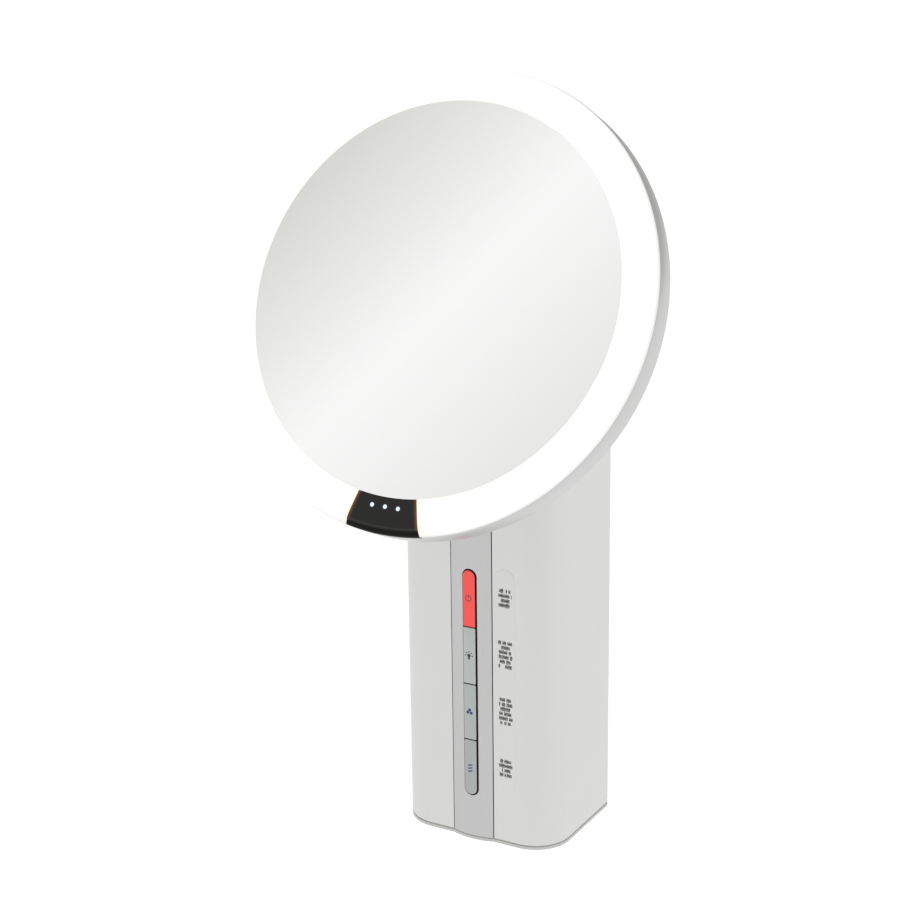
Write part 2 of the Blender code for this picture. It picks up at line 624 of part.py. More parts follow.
# ---- guide and mast -------------------------------------------------------------------------
def make_guide():
    top = SHELL_TOP - 1.5 * MM
    guide = turned("mast_guide", ring_profile(GUIDE_BORE_R, GUIDE_R, GUIDE_BOTTOM, top), facets=32)
    guide.location = (0.0, MAST_Y, 0.0)
    part(guide, (0.62, 0.63, 0.65), 0.35, 1.0)
    bush_top = SHELL_TOP - SEAT
    r_in, r_out = MAST_R + RUN, GUIDE_BORE_R - SEAT
    bush = turned("guide_bush", [(GUIDE_R + MM, bush_top), (GUIDE_R + MM, top + SEAT), (r_out, top + SEAT),
                                 (r_out, top - BUSH_L), (r_in, top - BUSH_L), (r_in, bush_top)], facets=32)
    bush.location = (0.0, MAST_Y, 0.0)
    part(bush, (0.82, 0.82, 0.80), 0.5)


def make_mast(axis):
    top = COLUMN_TOP + 3.4 * MM
    tube = turned("mast_tube", ring_profile(MAST_BORE_R, MAST_R, MAST_BOTTOM, top), facets=32)
    part(tube, (0.70, 0.71, 0.72), 0.18, 1.0, axis)
    r = GUIDE_BORE_R - RUN
    low = MAST_BOTTOM - SEAT - 5.0 * MM
    foot = turned("mast_foot", [(r - 0.5 * MM, low + FOOT_H), (r, low + FOOT_H - 0.5 * MM), (r, low + 0.5 * MM),
                                (r - 0.5 * MM, low), (0.0, low), (0.0, MAST_BOTTOM - SEAT),
                                (MAST_R + SEAT, MAST_BOTTOM - SEAT), (MAST_R + SEAT, low + FOOT_H)],
                  facets=32)
    part(foot, (0.85, 0.85, 0.83), 0.5, 0.0, axis)


def make_yoke(axis):
    """Forked knuckle on top of the mast, with the cross pin, its end caps and friction washers."""
    base_low, base_high = COLUMN_TOP + 0.6 * MM, COLUMN_TOP + 3.6 * MM
    ear_in = BARREL_HALF + WASHER_T + 2 * SEAT
    yoke = turned("hinge_yoke", ring_profile(MAST_R + SEAT, 11.4 * MM, base_low, base_high, 0.5 * MM), facets=32)
    part(yoke, (0.72, 0.73, 0.74), 0.25, 1.0, axis)
    for side, x0, x1 in (("left", -ear_in - EAR_T, -ear_in), ("right", ear_in, ear_in + EAR_T)):
        join(yoke, prism("ear_" + side, arc(0.0, PIVOT_Z, EAR_R, 0, 180, 16)
                         + [(-EAR_R, base_high - MM), (EAR_R, base_high - MM)], x0, x1, "Y"))
    for obj in bpy.data.collections[CUTTERS].objects:
        if obj.name.startswith("ear_"):
            obj.rotation_euler = (0.0, 0.0, -pi / 2)
    cut(yoke, rod("pin_way", PIN_R + RUN, (0.0, PIVOT_Z), (-0.03, 0.03), "X", 28))
    pin_end = ear_in + EAR_T
    pin = rod("hinge_pin", PIN_R, (0.0, PIVOT_Z), (-pin_end, pin_end), "X", 28)
    smooth(pin)
    part(pin, (0.60, 0.60, 0.62), 0.2, 1.0, axis)
    for side, sign in (("left", -1), ("right", 1)):
        ends = sorted((sign * (BARREL_HALF + SEAT), sign * (BARREL_HALF + SEAT + WASHER_T)))
        washer = rod("friction_washer_" + side, 5.8 * MM, (0.0, PIVOT_Z), ends, "X", 24)
        smooth(washer)
        part(washer, (0.75, 0.70, 0.55), 0.5, 0.0, axis)
        cut(washer, rod("washer_bore_" + side, PIN_R + SEAT, (0.0, PIVOT_Z), (-0.03, 0.03), "X", 24))
        ends = sorted((sign * (pin_end + SEAT), sign * (pin_end + SEAT + HINGE_CAP_T)))
        cap = rod("hinge_cap_" + side, EAR_R - 0.3 * MM, (0.0, PIVOT_Z), ends, "X", 24)
        smooth(cap)
        part(cap, (0.72, 0.73, 0.74), 0.25, 1.0, axis)
        soften(cap, 0.5 * MM, 1, 60)


# ---- head -----------------------------------------------------------------------------------
# Inside the head X points right, Y up its face and Z out of the glass; the pivot is the origin.
def head_place(obj):
    """Moves a turned piece of the head to the head's centre, glass face at its own zero."""
    obj.location = (0.0, -HEAD_DROP, HEAD_REACH)
    return obj


def window_wedge(name, ease, low, high):
    """Wedge standing through the light ring where the touch window is; ease widens it."""
    slope = (WINDOW_OUT[0] - WINDOW_IN[0]) / (WINDOW_OUT[1] - WINDOW_IN[1])
    inner, outer = GLASS_R - 4.7 * MM, RIM_R + 4.0 * MM
    wi = WINDOW_IN[0] + slope * (inner - WINDOW_IN[1]) + ease
    wo = WINDOW_IN[0] + slope * (outer - WINDOW_IN[1]) + ease
    return head_place(prism(name, [(-wo, -outer), (wo, -outer), (wi, -inner), (-wi, -inner)], low, high))


def make_bracket(axis):
    back_face = HEAD_REACH - HEAD_T - SEAT
    bracket = rod("hinge_bracket", BARREL_R, (0.0, 0.0), (-BARREL_HALF, BARREL_HALF), "X", 28)
    smooth(bracket)
    part(bracket, (0.70, 0.71, 0.72), 0.28, 1.0, axis)
    join(bracket, box("neck_form", (-BARREL_HALF, BARREL_HALF), (-NECK_T / 2, NECK_T / 2), (0.0, back_face - MM)))
    flange = box("flange_form", (-BRACKET_W / 2, BRACKET_W / 2), (-BRACKET_H / 2, BRACKET_H / 2),
                 (back_face - BRACKET_T, back_face))
    join(bracket, flange)
    cut(bracket, rod("barrel_bore", PIN_R + RUN, (0.0, 0.0), (-0.03, 0.03), "X", 28))
    for i, (sx, sy) in enumerate(((-1, 1), (1, 1), (-1, -1), (1, -1))):
        x, y = sx * BRACKET_SCREW[0], sy * BRACKET_SCREW[1]
        cut(bracket, rod("bracket_way_%d" % (i + 1), SCREW_R + PILOT, (x, y), (0.0, 0.05), facets=14))
        make_bracket_screw(i + 1, x, y, axis, back_face)
    return bracket


def make_bracket_screw(number, x, y, axis, back_face):
    low = back_face - BRACKET_T - SEAT - SCREW_HEAD_H
    make_screw("bracket_screw_%d" % number, x, y, low, HEAD_REACH - 11.2 * MM, parent=axis)


def cut_bracket_ways(obj, radius, tag):
    for i, (sx, sy) in enumerate(((-1, 1), (1, 1), (-1, -1), (1, -1))):
        x, y = sx * BRACKET_SCREW[0], sy * BRACKET_SCREW[1]
        cut(obj, rod("%s_way_%d" % (tag, i + 1), radius, (x, y), (0.02, 0.06), facets=14))


def make_rear_cover(axis):
    r = RIM_R - RIM_WALL - GAP
    back, floor_in, lip = -HEAD_T, -HEAD_T + 1.8 * MM, -HEAD_T + 3.6 * MM
    cover = turned("rear_cover", [(0.0, floor_in), (r - 1.6 * MM, floor_in), (r - 1.6 * MM, lip), (r, lip),
                                  (r, back + 0.8 * MM), (r - 0.8 * MM, back), (0.0, back)], closed=False)
    part(head_place(cover), (0.78, 0.78, 0.77), 0.35, 0.3, axis)
    cut_bracket_ways(cover, SCREW_R + PILOT, "cover")
    return cover


def make_back_plate(axis):
    high = -HEAD_T + 1.8 * MM + GAP + 1.5 * MM
    plate = turned("back_plate", [(0.0, high), (RIM_R - 20.0 * MM, high), (RIM_R - 20.0 * MM, high - 1.5 * MM),
                                  (0.0, high - 1.5 * MM)], closed=False, facets=56)
    part(head_place(plate), (0.65, 0.66, 0.68), 0.35, 1.0, axis)
    cut_bracket_ways(plate, SCREW_R + PILOT, "plate")
    return plate


def make_rim(axis):
    inner, back = RIM_R - RIM_WALL, -HEAD_T
    rim = turned("rim_band", [(RIM_R - 0.5 * MM, -RIM_TOP), (RIM_R, -RIM_TOP - 0.5 * MM), (RIM_R, back + 1.2 * MM),
                              (RIM_R - 0.5 * MM, back + 0.3 * MM), (RIM_R - 1.2 * MM, back), (inner, back),
                              (inner, -RIM_TOP)])
    part(head_place(rim), (0.62, 0.63, 0.63), 0.3, 0.8, axis)
    cut(rim, window_wedge("rim_notch", GAP, -WINDOW_LIP - GAP, 0.01))
    return rim


def make_diffuser(axis):
    inner, foot = GLASS_R + GAP, RIM_R - RIM_WALL - GAP
    under = DIFFUSER_T + 0.1 * MM
    profile = ([(DOME_R, dome(DOME_R)), (DOME_R, -RIM_TOP + SEAT * 2), (foot, -RIM_TOP + SEAT * 2), (foot, -4.2 * MM),
                (foot - 1.4 * MM, -4.2 * MM), (foot - 1.8 * MM, -under - 1.0 * MM), (inner + 1.6 * MM, -under),
                (inner + 1.4 * MM, -3.0 * MM), (inner, -3.0 * MM)]
               + dome_profile(DOME_R)[::-1][:-1])
    diffuser = turned("diffuser_ring", profile)
    part(head_place(diffuser), (0.93, 0.92, 0.88), 0.4, 0.0, axis)
    cut(diffuser, window_wedge("diffuser_gap", SEAT, -0.02, 0.01))
    return diffuser


def make_window(axis):
    inner = GLASS_R + GAP
    edge = RIM_R - 0.05 * MM
    lip_in = RIM_R - RIM_WALL + GAP
    under = -2.8 * MM
    profile = ([(edge, -DOME_DROP - 0.4 * MM), (edge, -WINDOW_LIP), (lip_in, -WINDOW_LIP), (lip_in, under),
                (inner, under)] + dome_profile(edge - 0.6 * MM)[::-1])
    window = turned("touch_window", profile)
    part(head_place(window), (0.02, 0.02, 0.02), 0.12, 0.0, axis)
    boolean(window, tool(window_wedge("window_form", -SEAT, -0.02, 0.01), axis), "INTERSECT")
    for i in (-1, 0, 1):
        cut(window, head_place(rod("dot_hole_%d" % (i + 2), DOT_R + SEAT, (i * DOT_PITCH, -DOT_DOWN),
                                   (-0.01, 0.01), facets=14)))
    return window


def make_light_pipe(axis):
    """Three clear studs on one bar: they carry the indicator light to the window's face."""
    pipe = box("indicator_pipe", (-DOT_PITCH - 1.8 * MM, DOT_PITCH + 1.8 * MM),
               (-DOT_DOWN - 1.4 * MM, -DOT_DOWN + 1.4 * MM), (-4.4 * MM, -3.1 * MM))
    part(head_place(pipe), (0.75, 0.85, 0.95), 0.2, 0.0, axis)
    for i in (-1, 0, 1):
        join(pipe, head_place(rod("stud_%d" % (i + 2), DOT_R, (i * DOT_PITCH, -DOT_DOWN),
                                  (-3.6 * MM, -0.1 * MM), facets=14)))
    return pipe


def make_led_tray(axis):
    r_in, r_out = GLASS_R + 0.6 * MM, RIM_R - RIM_WALL - GAP
    top, floor_low = -4.5 * MM, -10.6 * MM
    tray = turned("reflector_tray", [(r_out, top), (r_out, floor_low), (r_in, floor_low), (r_in, top),
                                     (r_in + 0.9 * MM, top), (r_in + 0.9 * MM, floor_low + 1.0 * MM),
                                     (r_out - 0.6 * MM, floor_low + 1.0 * MM), (r_out - 0.6 * MM, top)], facets=56)
    part(head_place(tray), (0.90, 0.90, 0.90), 0.3, 0.0, axis)
    board_low = floor_low + 1.2 * MM
    board = turned("led_board", ring_profile(LED_RING[0], LED_RING[1], board_low, board_low + 1.2 * MM), facets=56)
    part(head_place(board), (0.85, 0.86, 0.85), 0.4, 0.0, axis)
    join(board, head_place(led_blocks(board_low + MM, board_low + 2.2 * MM)))


def led_blocks(low, high):
    """All the light chips as one mesh of small blocks standing round the ring."""
    bm = bmesh.new()
    middle = (LED_RING[0] + LED_RING[1]) / 2
    for i in range(LED_COUNT):
        angle = 2 * pi * (i + 0.5) / LED_COUNT
        made = bmesh.ops.create_cube(bm, size=1.0)
        for v in made["verts"]:
            along, across, up = v.co.x * 2.8 * MM, v.co.y * 3.5 * MM, (low + high) / 2 + v.co.z * (high - low)
            r = middle + along
            v.co = Vector((r * cos(angle) - across * sin(angle), r * sin(angle) + across * cos(angle), up))
    return from_bmesh("light_chips", bm)


def make_glass(axis):
    edge = 0.4 * MM
    glass = turned("mirror_glass", [(0.0, 0.0), (GLASS_R - edge, 0.0), (GLASS_R, -edge), (GLASS_R, -GLASS_T),
                                    (0.0, -GLASS_T)], closed=False)
    part(head_place(glass), (0.90, 0.91, 0.91), 0.03, 1.0, axis)
    high, low = -GLASS_T - 2 * SEAT, -GLASS_T - 2.0 * MM
    carrier = turned("mirror_carrier", [(0.0, high), (GLASS_R, high), (GLASS_R, low), (0.0, low)],
                     closed=False, facets=56)
    part(head_place(carrier), (0.55, 0.55, 0.56), 0.6, 0.0, axis)
    for i, (sx, sy) in enumerate(((-1, 1), (1, 1), (-1, -1), (1, -1))):
        join(carrier, head_place(rod("carrier_post_%d" % (i + 1), 4.0 * MM, (sx * 45 * MM, sy * 45 * MM),
                                     (-HEAD_T + 1.8 * MM + 2 * GAP + 1.5 * MM, -GLASS_T - MM), facets=24)))


def make_head_boards(axis):
    driver = box("head_driver_board", (-25.0 * MM, 25.0 * MM), (20.0 * MM, 46.0 * MM), (-9.8 * MM, -8.2 * MM))
    part(head_place(driver), (0.03, 0.20, 0.10), 0.5, 0.0, axis)
    join(driver, head_place(box("coil_form", (-6.0 * MM, 3.0 * MM), (28.0 * MM, 37.0 * MM), (-9.0 * MM, -6.0 * MM))))
    touch = box("touch_board", (-9.5 * MM, 9.5 * MM), (-GLASS_R - 10.7 * MM, -GLASS_R - 2.9 * MM), (-6.6 * MM, -5.6 * MM))
    part(head_place(touch), (0.03, 0.20, 0.10), 0.5, 0.0, axis)


# ---- build ----------------------------------------------------------------------------------
clear_scene()
make_pad()
make_base_plate()
make_plate_screws()
make_ballast()
make_shell()
make_label()
make_strip()
make_keys()
make_switches()
make_key_board()
make_top_cap()
make_cap_screws()
make_chassis()
make_battery()
make_main_board()
make_charge_port()
make_guide()

mast_axis = on_axis("mast_slide_axis", (0.0, MAST_Y, 0.0))
make_mast(mast_axis)
make_yoke(mast_axis)

tilt_axis = on_axis("head_tilt_axis", (0.0, MAST_Y, PIVOT_Z), 90.0 - HEAD_TILT)
make_bracket(tilt_axis)
make_rear_cover(tilt_axis)
make_back_plate(tilt_axis)
make_rim(tilt_axis)
make_led_tray(tilt_axis)
make_diffuser(tilt_axis)
make_window(tilt_axis)
make_light_pipe(tilt_axis)
make_glass(tilt_axis)
make_head_boards(tilt_axis)
bpy.context.view_layer.update()
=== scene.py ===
import json
import math

import bpy
import numpy as np
from mathutils import Matrix


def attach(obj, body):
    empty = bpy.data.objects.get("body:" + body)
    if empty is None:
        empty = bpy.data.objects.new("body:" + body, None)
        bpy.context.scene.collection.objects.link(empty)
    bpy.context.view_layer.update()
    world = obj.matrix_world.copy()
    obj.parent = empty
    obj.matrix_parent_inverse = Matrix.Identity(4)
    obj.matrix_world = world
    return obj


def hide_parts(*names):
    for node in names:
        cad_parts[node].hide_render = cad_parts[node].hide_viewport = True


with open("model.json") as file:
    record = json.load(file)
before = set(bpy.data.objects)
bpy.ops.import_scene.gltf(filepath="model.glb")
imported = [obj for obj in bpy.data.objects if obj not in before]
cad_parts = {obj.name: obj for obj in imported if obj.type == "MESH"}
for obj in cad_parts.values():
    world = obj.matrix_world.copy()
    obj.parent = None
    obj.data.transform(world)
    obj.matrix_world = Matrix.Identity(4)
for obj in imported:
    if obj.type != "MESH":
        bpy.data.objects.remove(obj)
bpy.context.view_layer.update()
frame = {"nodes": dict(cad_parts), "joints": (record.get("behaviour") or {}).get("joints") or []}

# ---- sizes, in millimetres ------------------------------------------------------------------
MM = 0.001
HALF_W, HALF_D = 40.2, 30.35            # column half width and half depth
FRONT_R, BACK_R = 17.6, 4.0             # its corners in plan
WALL = 2.2
STRIP_HALF, BULGE = 10.3, 1.8           # bright strip and how far its middle stands forward
BAND_LOW, BAND_HIGH = 0.1, 1.65          # base plate's visible band
SHELL_LOW, SHELL_HIGH = 2.0, 236.0
CAP_LOW, CAP_HIGH = 236.3, 240.0
MAST_Y, MAST_R = -12.0, 5.0
KEY_HALF, KEY_PITCH, KEYS_LOW = 3.2, 27.5, 22.0
KEY_FRONT = -(HALF_D + BULGE + 0.35)
LABEL_X, LABEL_HALF, LABEL_Z = 16.9, 4.9, (24.3, 134.0)
PORT_HALF, PORT_RISE, PORT_Z = 4.9, 2.05, 27.0
TILT = math.radians(26.6)               # the head leans back this much as stored
REACH, DROP = 49.1, 12.2                # glass in front of the pivot, head centre below it
HEAD_T, RIM_R, GLASS_R = 14.5, 100.0, 84.7
DOME_R, DOME_DROP = 99.8, 2.0
WINDOW_IN, WINDOW_OUT, WINDOW_LIP = (13.2, 84.1), (16.9, 97.9), 4.6
DOT_R, DOT_PITCH, DOT_DOWN = 1.06, 6.15, 88.6

tilt_joint = next(j for j in frame["joints"] if j["name"] == "head_tilt")
PIVOT = np.array(tilt_joint["pos_m"]) / MM
FACE_X = np.array([1.0, 0.0, 0.0])
FACE_UP = np.array([0.0, math.sin(TILT), math.cos(TILT)])
FACE_OUT = np.array([0.0, -math.cos(TILT), math.sin(TILT)])
HEAD_CENTRE = PIVOT + FACE_UP * -DROP + FACE_OUT * REACH


# ---- surfaces -------------------------------------------------------------------------------
def stitch(rows, cols, wrap_rows, wrap_cols):
    """Quads over a grid of rows by cols points, joined end to end where asked."""
    r = np.arange(rows if wrap_rows else rows - 1)
    c = np.arange(cols if wrap_cols else cols - 1)
    a, b = np.meshgrid(r, c, indexing="ij")
    a2, b2 = (a + 1) % rows, (b + 1) % cols
    return np.stack([a * cols + b, a * cols + b2, a2 * cols + b2, a2 * cols + b], -1).reshape(-1, 4)


def fan(ring, centre):
    """Triangles from a ring of point numbers to one centre point."""
    return np.stack([ring, np.roll(ring, -1), np.full_like(ring, centre)], -1)


def signed_volume(points, quads, tris):
    corners = np.concatenate([quads[:, [0, 1, 2]], quads[:, [0, 2, 3]], tris])
    p = points[corners]
    return np.einsum("ij,ij->i", p[:, 0], np.cross(p[:, 1], p[:, 2])).sum()


def solid(name, grid, wrap_rows=False, sharp=35.0):
    """Closed mesh over grid[row, column, xyz] in millimetres; columns always run round in a loop.

    Unless the rows also run round, the first and last rows are each closed to their own middle.
    """
    rows, cols = grid.shape[:2]
    points = grid.reshape(-1, 3)
    quads = stitch(rows, cols, wrap_rows, True)
    tris = np.zeros((0, 3), int)
    if not wrap_rows:
        points = np.concatenate([points, grid[:1].mean(1), grid[-1:].mean(1)])
        first, last = np.arange(cols), np.arange(cols) + (rows - 1) * cols
        tris = np.concatenate([fan(first, rows * cols)[:, ::-1], fan(last, rows * cols + 1)])
    if signed_volume(points, quads, tris) < 0.0:
        quads, tris = quads[:, ::-1], tris[:, ::-1]
    mesh = bpy.data.meshes.new(name)
    mesh.from_pydata((points * MM).tolist(), [], quads.tolist() + tris.tolist())
    mesh.validate()
    mesh.shade_smooth()
    mesh.set_sharp_from_angle(angle=math.radians(sharp))
    piece = bpy.data.objects.new(name, mesh)
    bpy.context.scene.collection.objects.link(piece)
    return piece


def place(piece, body, slot, finish, *nodes):
    """Gives a finished piece its material and its body, and hides the CAD nodes it stands for. Its slot is
    not used.
    """
    piece.data.materials.append(finish)
    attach(piece, body)
    if nodes:
        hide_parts(*nodes)
    return piece


def on_face(points):
    """Head coordinates (right, up the face, out of the glass) to places in the room."""
    return HEAD_CENTRE + points[..., :1] * FACE_X + points[..., 1:2] * FACE_UP + points[..., 2:] * FACE_OUT


def rounding(start, end, corner, steps=6):
    """Quarter bend from start to end round the corner point they share: a curve of second degree."""
    t = np.linspace(0.0, 1.0, steps)[:, None]
    a, b, c = (np.array(p, float) for p in (start, end, corner))
    return (1 - t) ** 2 * a + 2 * t * (1 - t) * c + t ** 2 * b


def turn(profile, count=256):
    """Revolve: each (radius, height) of the profile goes round the head's own axis."""
    angle = np.linspace(0.0, 2 * np.pi, count, endpoint=False)
    r, z = np.array(profile, float).T
    ring = np.stack([np.cos(angle), np.sin(angle)], -1)
    flat = r[:, None, None] * ring
    return np.concatenate([flat, np.broadcast_to(z[:, None, None], flat.shape[:2] + (1,))], -1)


def path(*parts):
    """Profile points from single points and bends, one after another."""
    return np.concatenate([np.atleast_2d(np.array(p, float)) for p in parts])


def around(centre, radius, start, end, count):
    """Arc in plan as (centre x, centre y, radius, angle) rows, so it can be moved in later."""
    angle = np.radians(np.linspace(start, end, count))
    return np.stack([np.full(count, centre[0]), np.full(count, centre[1]), np.full(count, radius), angle], -1)


def column_plan(front_x, corner=28, left_x=None):
    """Column outline from the right of its front middle round the back to the left, as arc rows.

    A straight stretch is left to the chord between two arcs; the front ends are arcs of no radius.
    """
    right, back = HALF_W - FRONT_R, HALF_W - BACK_R
    front, rear = -HALF_D + FRONT_R, HALF_D - BACK_R
    return np.concatenate([
        around((front_x, front), FRONT_R, -90, -90, 1), around((right, front), FRONT_R, -90, 0, corner),
        around((HALF_W - FRONT_R, 8.0), FRONT_R, 0, 0, 1), around((back, rear), BACK_R, 0, 90, 10),
        around((0.0, rear), BACK_R, 90, 90, 1), around((-back, rear), BACK_R, 90, 180, 10),
        around((-HALF_W + FRONT_R, 8.0), FRONT_R, 180, 180, 1),
        around((-right, front), FRONT_R, 180, 270, corner),
        around((-(left_x or front_x), front), FRONT_R, 270, 270, 1)])


def inset_plan(plan, inset):
    """Outline points with every arc's radius made smaller by each inset: [inset, point, xy]."""
    inset = np.atleast_1d(np.array(inset, float))[:, None]
    cx, cy, radius, angle = plan.T
    return np.stack([cx + (radius - inset) * np.cos(angle), cy + (radius - inset) * np.sin(angle)], -1)


def bulge(x):
    """How far the strip stands in front of the flat front: a parabola, nothing at its edges."""
    return BULGE * np.clip(1.0 - (x / STRIP_HALF) ** 2, 0.0, None)


def full_plan(inset, count=31):
    """Whole outline with the strip's bow in it: [inset, point, xy]."""
    sides = inset_plan(column_plan(STRIP_HALF), inset)
    x = np.linspace(-STRIP_HALF, STRIP_HALF, count)[1:-1]
    depth = np.atleast_1d(np.array(inset, float))[:, None]
    bow = np.stack([np.broadcast_to(x, (len(depth), len(x))), -HALF_D + depth - bulge(x)], -1)
    return np.concatenate([sides, bow], 1)


def stand(plan, heights):
    """Plan points [row, point, xy] lifted to one height per row."""
    heights = np.broadcast_to(np.array(heights, float)[:, None, None], plan.shape[:2] + (1,))
    return np.concatenate([plan, heights], -1)


def make_column():
    """Wall profile (inset, height) carried along the open outline, closed at the strip's two edges."""
    ease = 0.5
    profile = path(rounding((0, SHELL_LOW + ease), (ease, SHELL_LOW), (0, SHELL_LOW))[::-1],
                   [(0, 40.0), (0, 80.0), (0, 120.0), (0, 160.0), (0, 200.0)],
                   rounding((0, SHELL_HIGH - ease), (ease, SHELL_HIGH), (0, SHELL_HIGH)),
                   [(WALL, SHELL_HIGH), (WALL, SHELL_LOW)])
    plan = column_plan(STRIP_HALF + 0.4, left_x=STRIP_HALF + 0.12)
    rows = stand(inset_plan(plan, profile[:, 0]), profile[:, 1])
    return solid("column_body", rows.transpose(1, 0, 2))


def make_plate(name, profile):
    """Solid plate: (inset, height) profile carried round the whole outline, closed at its middle."""
    return solid(name, stand(full_plan(profile[:, 0]), profile[:, 1]))


def make_base():
    ease = 0.3
    return make_plate("base_band", path(
        [(3.2, BAND_LOW), (2.0, BAND_LOW)],
        rounding((ease, BAND_LOW), (0, BAND_LOW + ease), (0, BAND_LOW)),
        rounding((0, BAND_HIGH - ease), (ease, BAND_HIGH), (0, BAND_HIGH)),
        [(0.55, BAND_HIGH), (0.6, SHELL_LOW + 0.3), (1.6, SHELL_LOW + 0.3), (3.2, SHELL_LOW + 0.3)]))


def make_cap():
    """Cap as a loop of rows: under face, rounded rim, top face, then down the mast's hole."""
    ease, hole = 1.3, MAST_R + 0.6
    outer = path([(3.0, CAP_LOW)], rounding((0.4, CAP_LOW), (0, CAP_LOW + 0.4), (0, CAP_LOW)),
                 rounding((0, CAP_HIGH - ease), (ease, CAP_HIGH), (0, CAP_HIGH), 9),
                 [(2.0, CAP_HIGH), (3.2, CAP_HIGH)])
    rows = stand(full_plan(outer[:, 0]), outer[:, 1])
    edge = full_plan(0.0)[0] - (0.0, MAST_Y)
    angle = np.arctan2(edge[:, 1], edge[:, 0])
    inner = path([(hole + 0.3, CAP_HIGH), (hole, CAP_HIGH - 0.3), (hole, CAP_LOW)])
    ring = np.stack([np.cos(angle), np.sin(angle)], -1) * inner[:, :1, None] + (0.0, MAST_Y)
    return solid("cap", np.concatenate([rows, stand(ring, inner[:, 1])]), wrap_rows=True)


def upright_plan(half, low, high, low_r, high_r, count=12):
    """Upright rounded outline in X and Z as arc rows, anticlockwise from the lower right."""
    return np.concatenate([
        around((half - low_r, low + low_r), low_r, -90, 0, count),
        around((half - high_r, high - high_r), high_r, 0, 90, count),
        around((-half + high_r, high - high_r), high_r, 90, 180, count),
        around((-half + low_r, low + low_r), low_r, 180, 270, count)])


def make_slab(name, plan, profile, middle_x=0.0, crown=0.0):
    """Upright slab: (inset, depth) profile carried round the outline; crown bows its face with x."""
    flat = inset_plan(plan, profile[:, 0])
    depth = np.broadcast_to(profile[:, 1, None], flat.shape[:2])
    depth = depth + crown * (flat[..., 0] / KEY_HALF) ** 2
    return solid(name, np.stack([flat[..., 0] + middle_x, depth, flat[..., 1]], -1))


def make_strip():
    """Strip with the keys' slot: rows run from the slot's back, over the face, round to its back."""
    slot_half, ease = KEY_HALF + 0.3, 0.35
    low, high = KEYS_LOW + 0.2, KEYS_LOW + 4 * KEY_PITCH - 0.1
    count = 16
    plan = np.concatenate([around((0, high - slot_half), slot_half, 0, 180, 2 * count + 1),
                           around((0, low + slot_half), slot_half, 180, 360, 2 * count + 1)])
    angle = plan[:, 3]
    tall = np.where(angle <= np.pi, SHELL_HIGH, SHELL_LOW)
    turn_x, turn_z = np.cos(angle), np.abs(np.sin(angle))
    base_z = plan[:, 1]
    outer_x = np.clip(turn_x * np.sqrt(2.0), -1, 1) * STRIP_HALF
    outer_z = base_z + (tall - base_z) * np.clip(turn_z * np.sqrt(2.0), 0, 1)
    outer = np.stack([outer_x, outer_z], -1)
    rim = inset_plan(plan, [0.0])[0]
    back = -HALF_D + 4.0

    def level(flat, depth):
        return np.stack([flat[:, 0], np.broadcast_to(depth, len(flat)), flat[:, 1]], -1)

    rows = [level(rim, back)]
    for t in np.linspace(0.0, 1.0, 5):
        lip = inset_plan(plan, [-ease * (1 - math.cos(t * math.pi / 2))])[0]
        rows.append(level(lip, -HALF_D - bulge(lip[:, 0]) + ease * (1 - math.sin(t * math.pi / 2))))
    lip = inset_plan(plan, [-ease])[0]
    at_side = np.abs(outer_x) > STRIP_HALF - 0.01
    outer_face = outer - np.stack([np.sign(outer_x) * at_side * 0.25, 0 * outer_x], -1)
    for t in np.linspace(0.0, 1.0, 26)[1:]:
        flat = lip + (outer_face - lip) * t
        rows.append(level(flat, -HALF_D - bulge(flat[:, 0])))
    rows.append(level(outer, -HALF_D + 0.25))
    rows.append(level(outer, back))
    return solid("control_panel", np.array(rows), wrap_rows=True)


def make_keys():
    """Four keys with eased edges; the outermost ends are half round."""
    half, parting, ease = KEY_HALF - 0.15, 0.25, 0.2
    nudge = (0.5, 0.4, 0.1, 0.0, -0.4)
    keys = []
    for index, name in enumerate(("level", "tone", "light", "power")):
        low = KEYS_LOW + index * KEY_PITCH + parting + nudge[index]
        high = KEYS_LOW + (index + 1) * KEY_PITCH - parting + nudge[index + 1]
        plan = upright_plan(half, low, high, half if index == 0 else 0.45, half if index == 3 else 0.45)
        profile = path([(0.0, KEY_FRONT + 5.0)], [(0.0, KEY_FRONT + 2.0)],
                       rounding((0, KEY_FRONT + ease), (ease, KEY_FRONT), (0, KEY_FRONT)))
        flat = inset_plan(plan, np.minimum(profile[:, 0], 0.44)) - (0.1, 0.0)
        depth = np.broadcast_to(profile[:, 1, None], flat.shape[:2])
        grid = np.stack([flat[..., 0], depth, flat[..., 1]], -1)
        middle = grid[-1].mean(0)
        middle[1] = KEY_FRONT
        shrink = np.array([0.8, 0.5, 0.2])[:, None, None]
        face = middle + (grid[-1] - middle) * shrink
        keys.append((name, solid("key_face_" + name, np.concatenate([grid, face]))))
    return keys


def make_plugs():
    """Two low domed trim plugs over the cap's screws: turned profiles."""
    plugs = []
    for side, x in (("left", -26.0), ("right", 26.0)):
        profile = path([(3.3, CAP_HIGH - 1.0), (3.3, CAP_HIGH + 0.05)],
                       rounding((3.3, CAP_HIGH + 0.1), (3.0, CAP_HIGH + 0.3), (3.3, CAP_HIGH + 0.3)),
                       [(1.5, CAP_HIGH + 0.36), (0.4, CAP_HIGH + 0.38)])
        plugs.append((side, solid("plug_" + side, turn(profile, 64) + (x, 0.0, 0.0))))
    return plugs


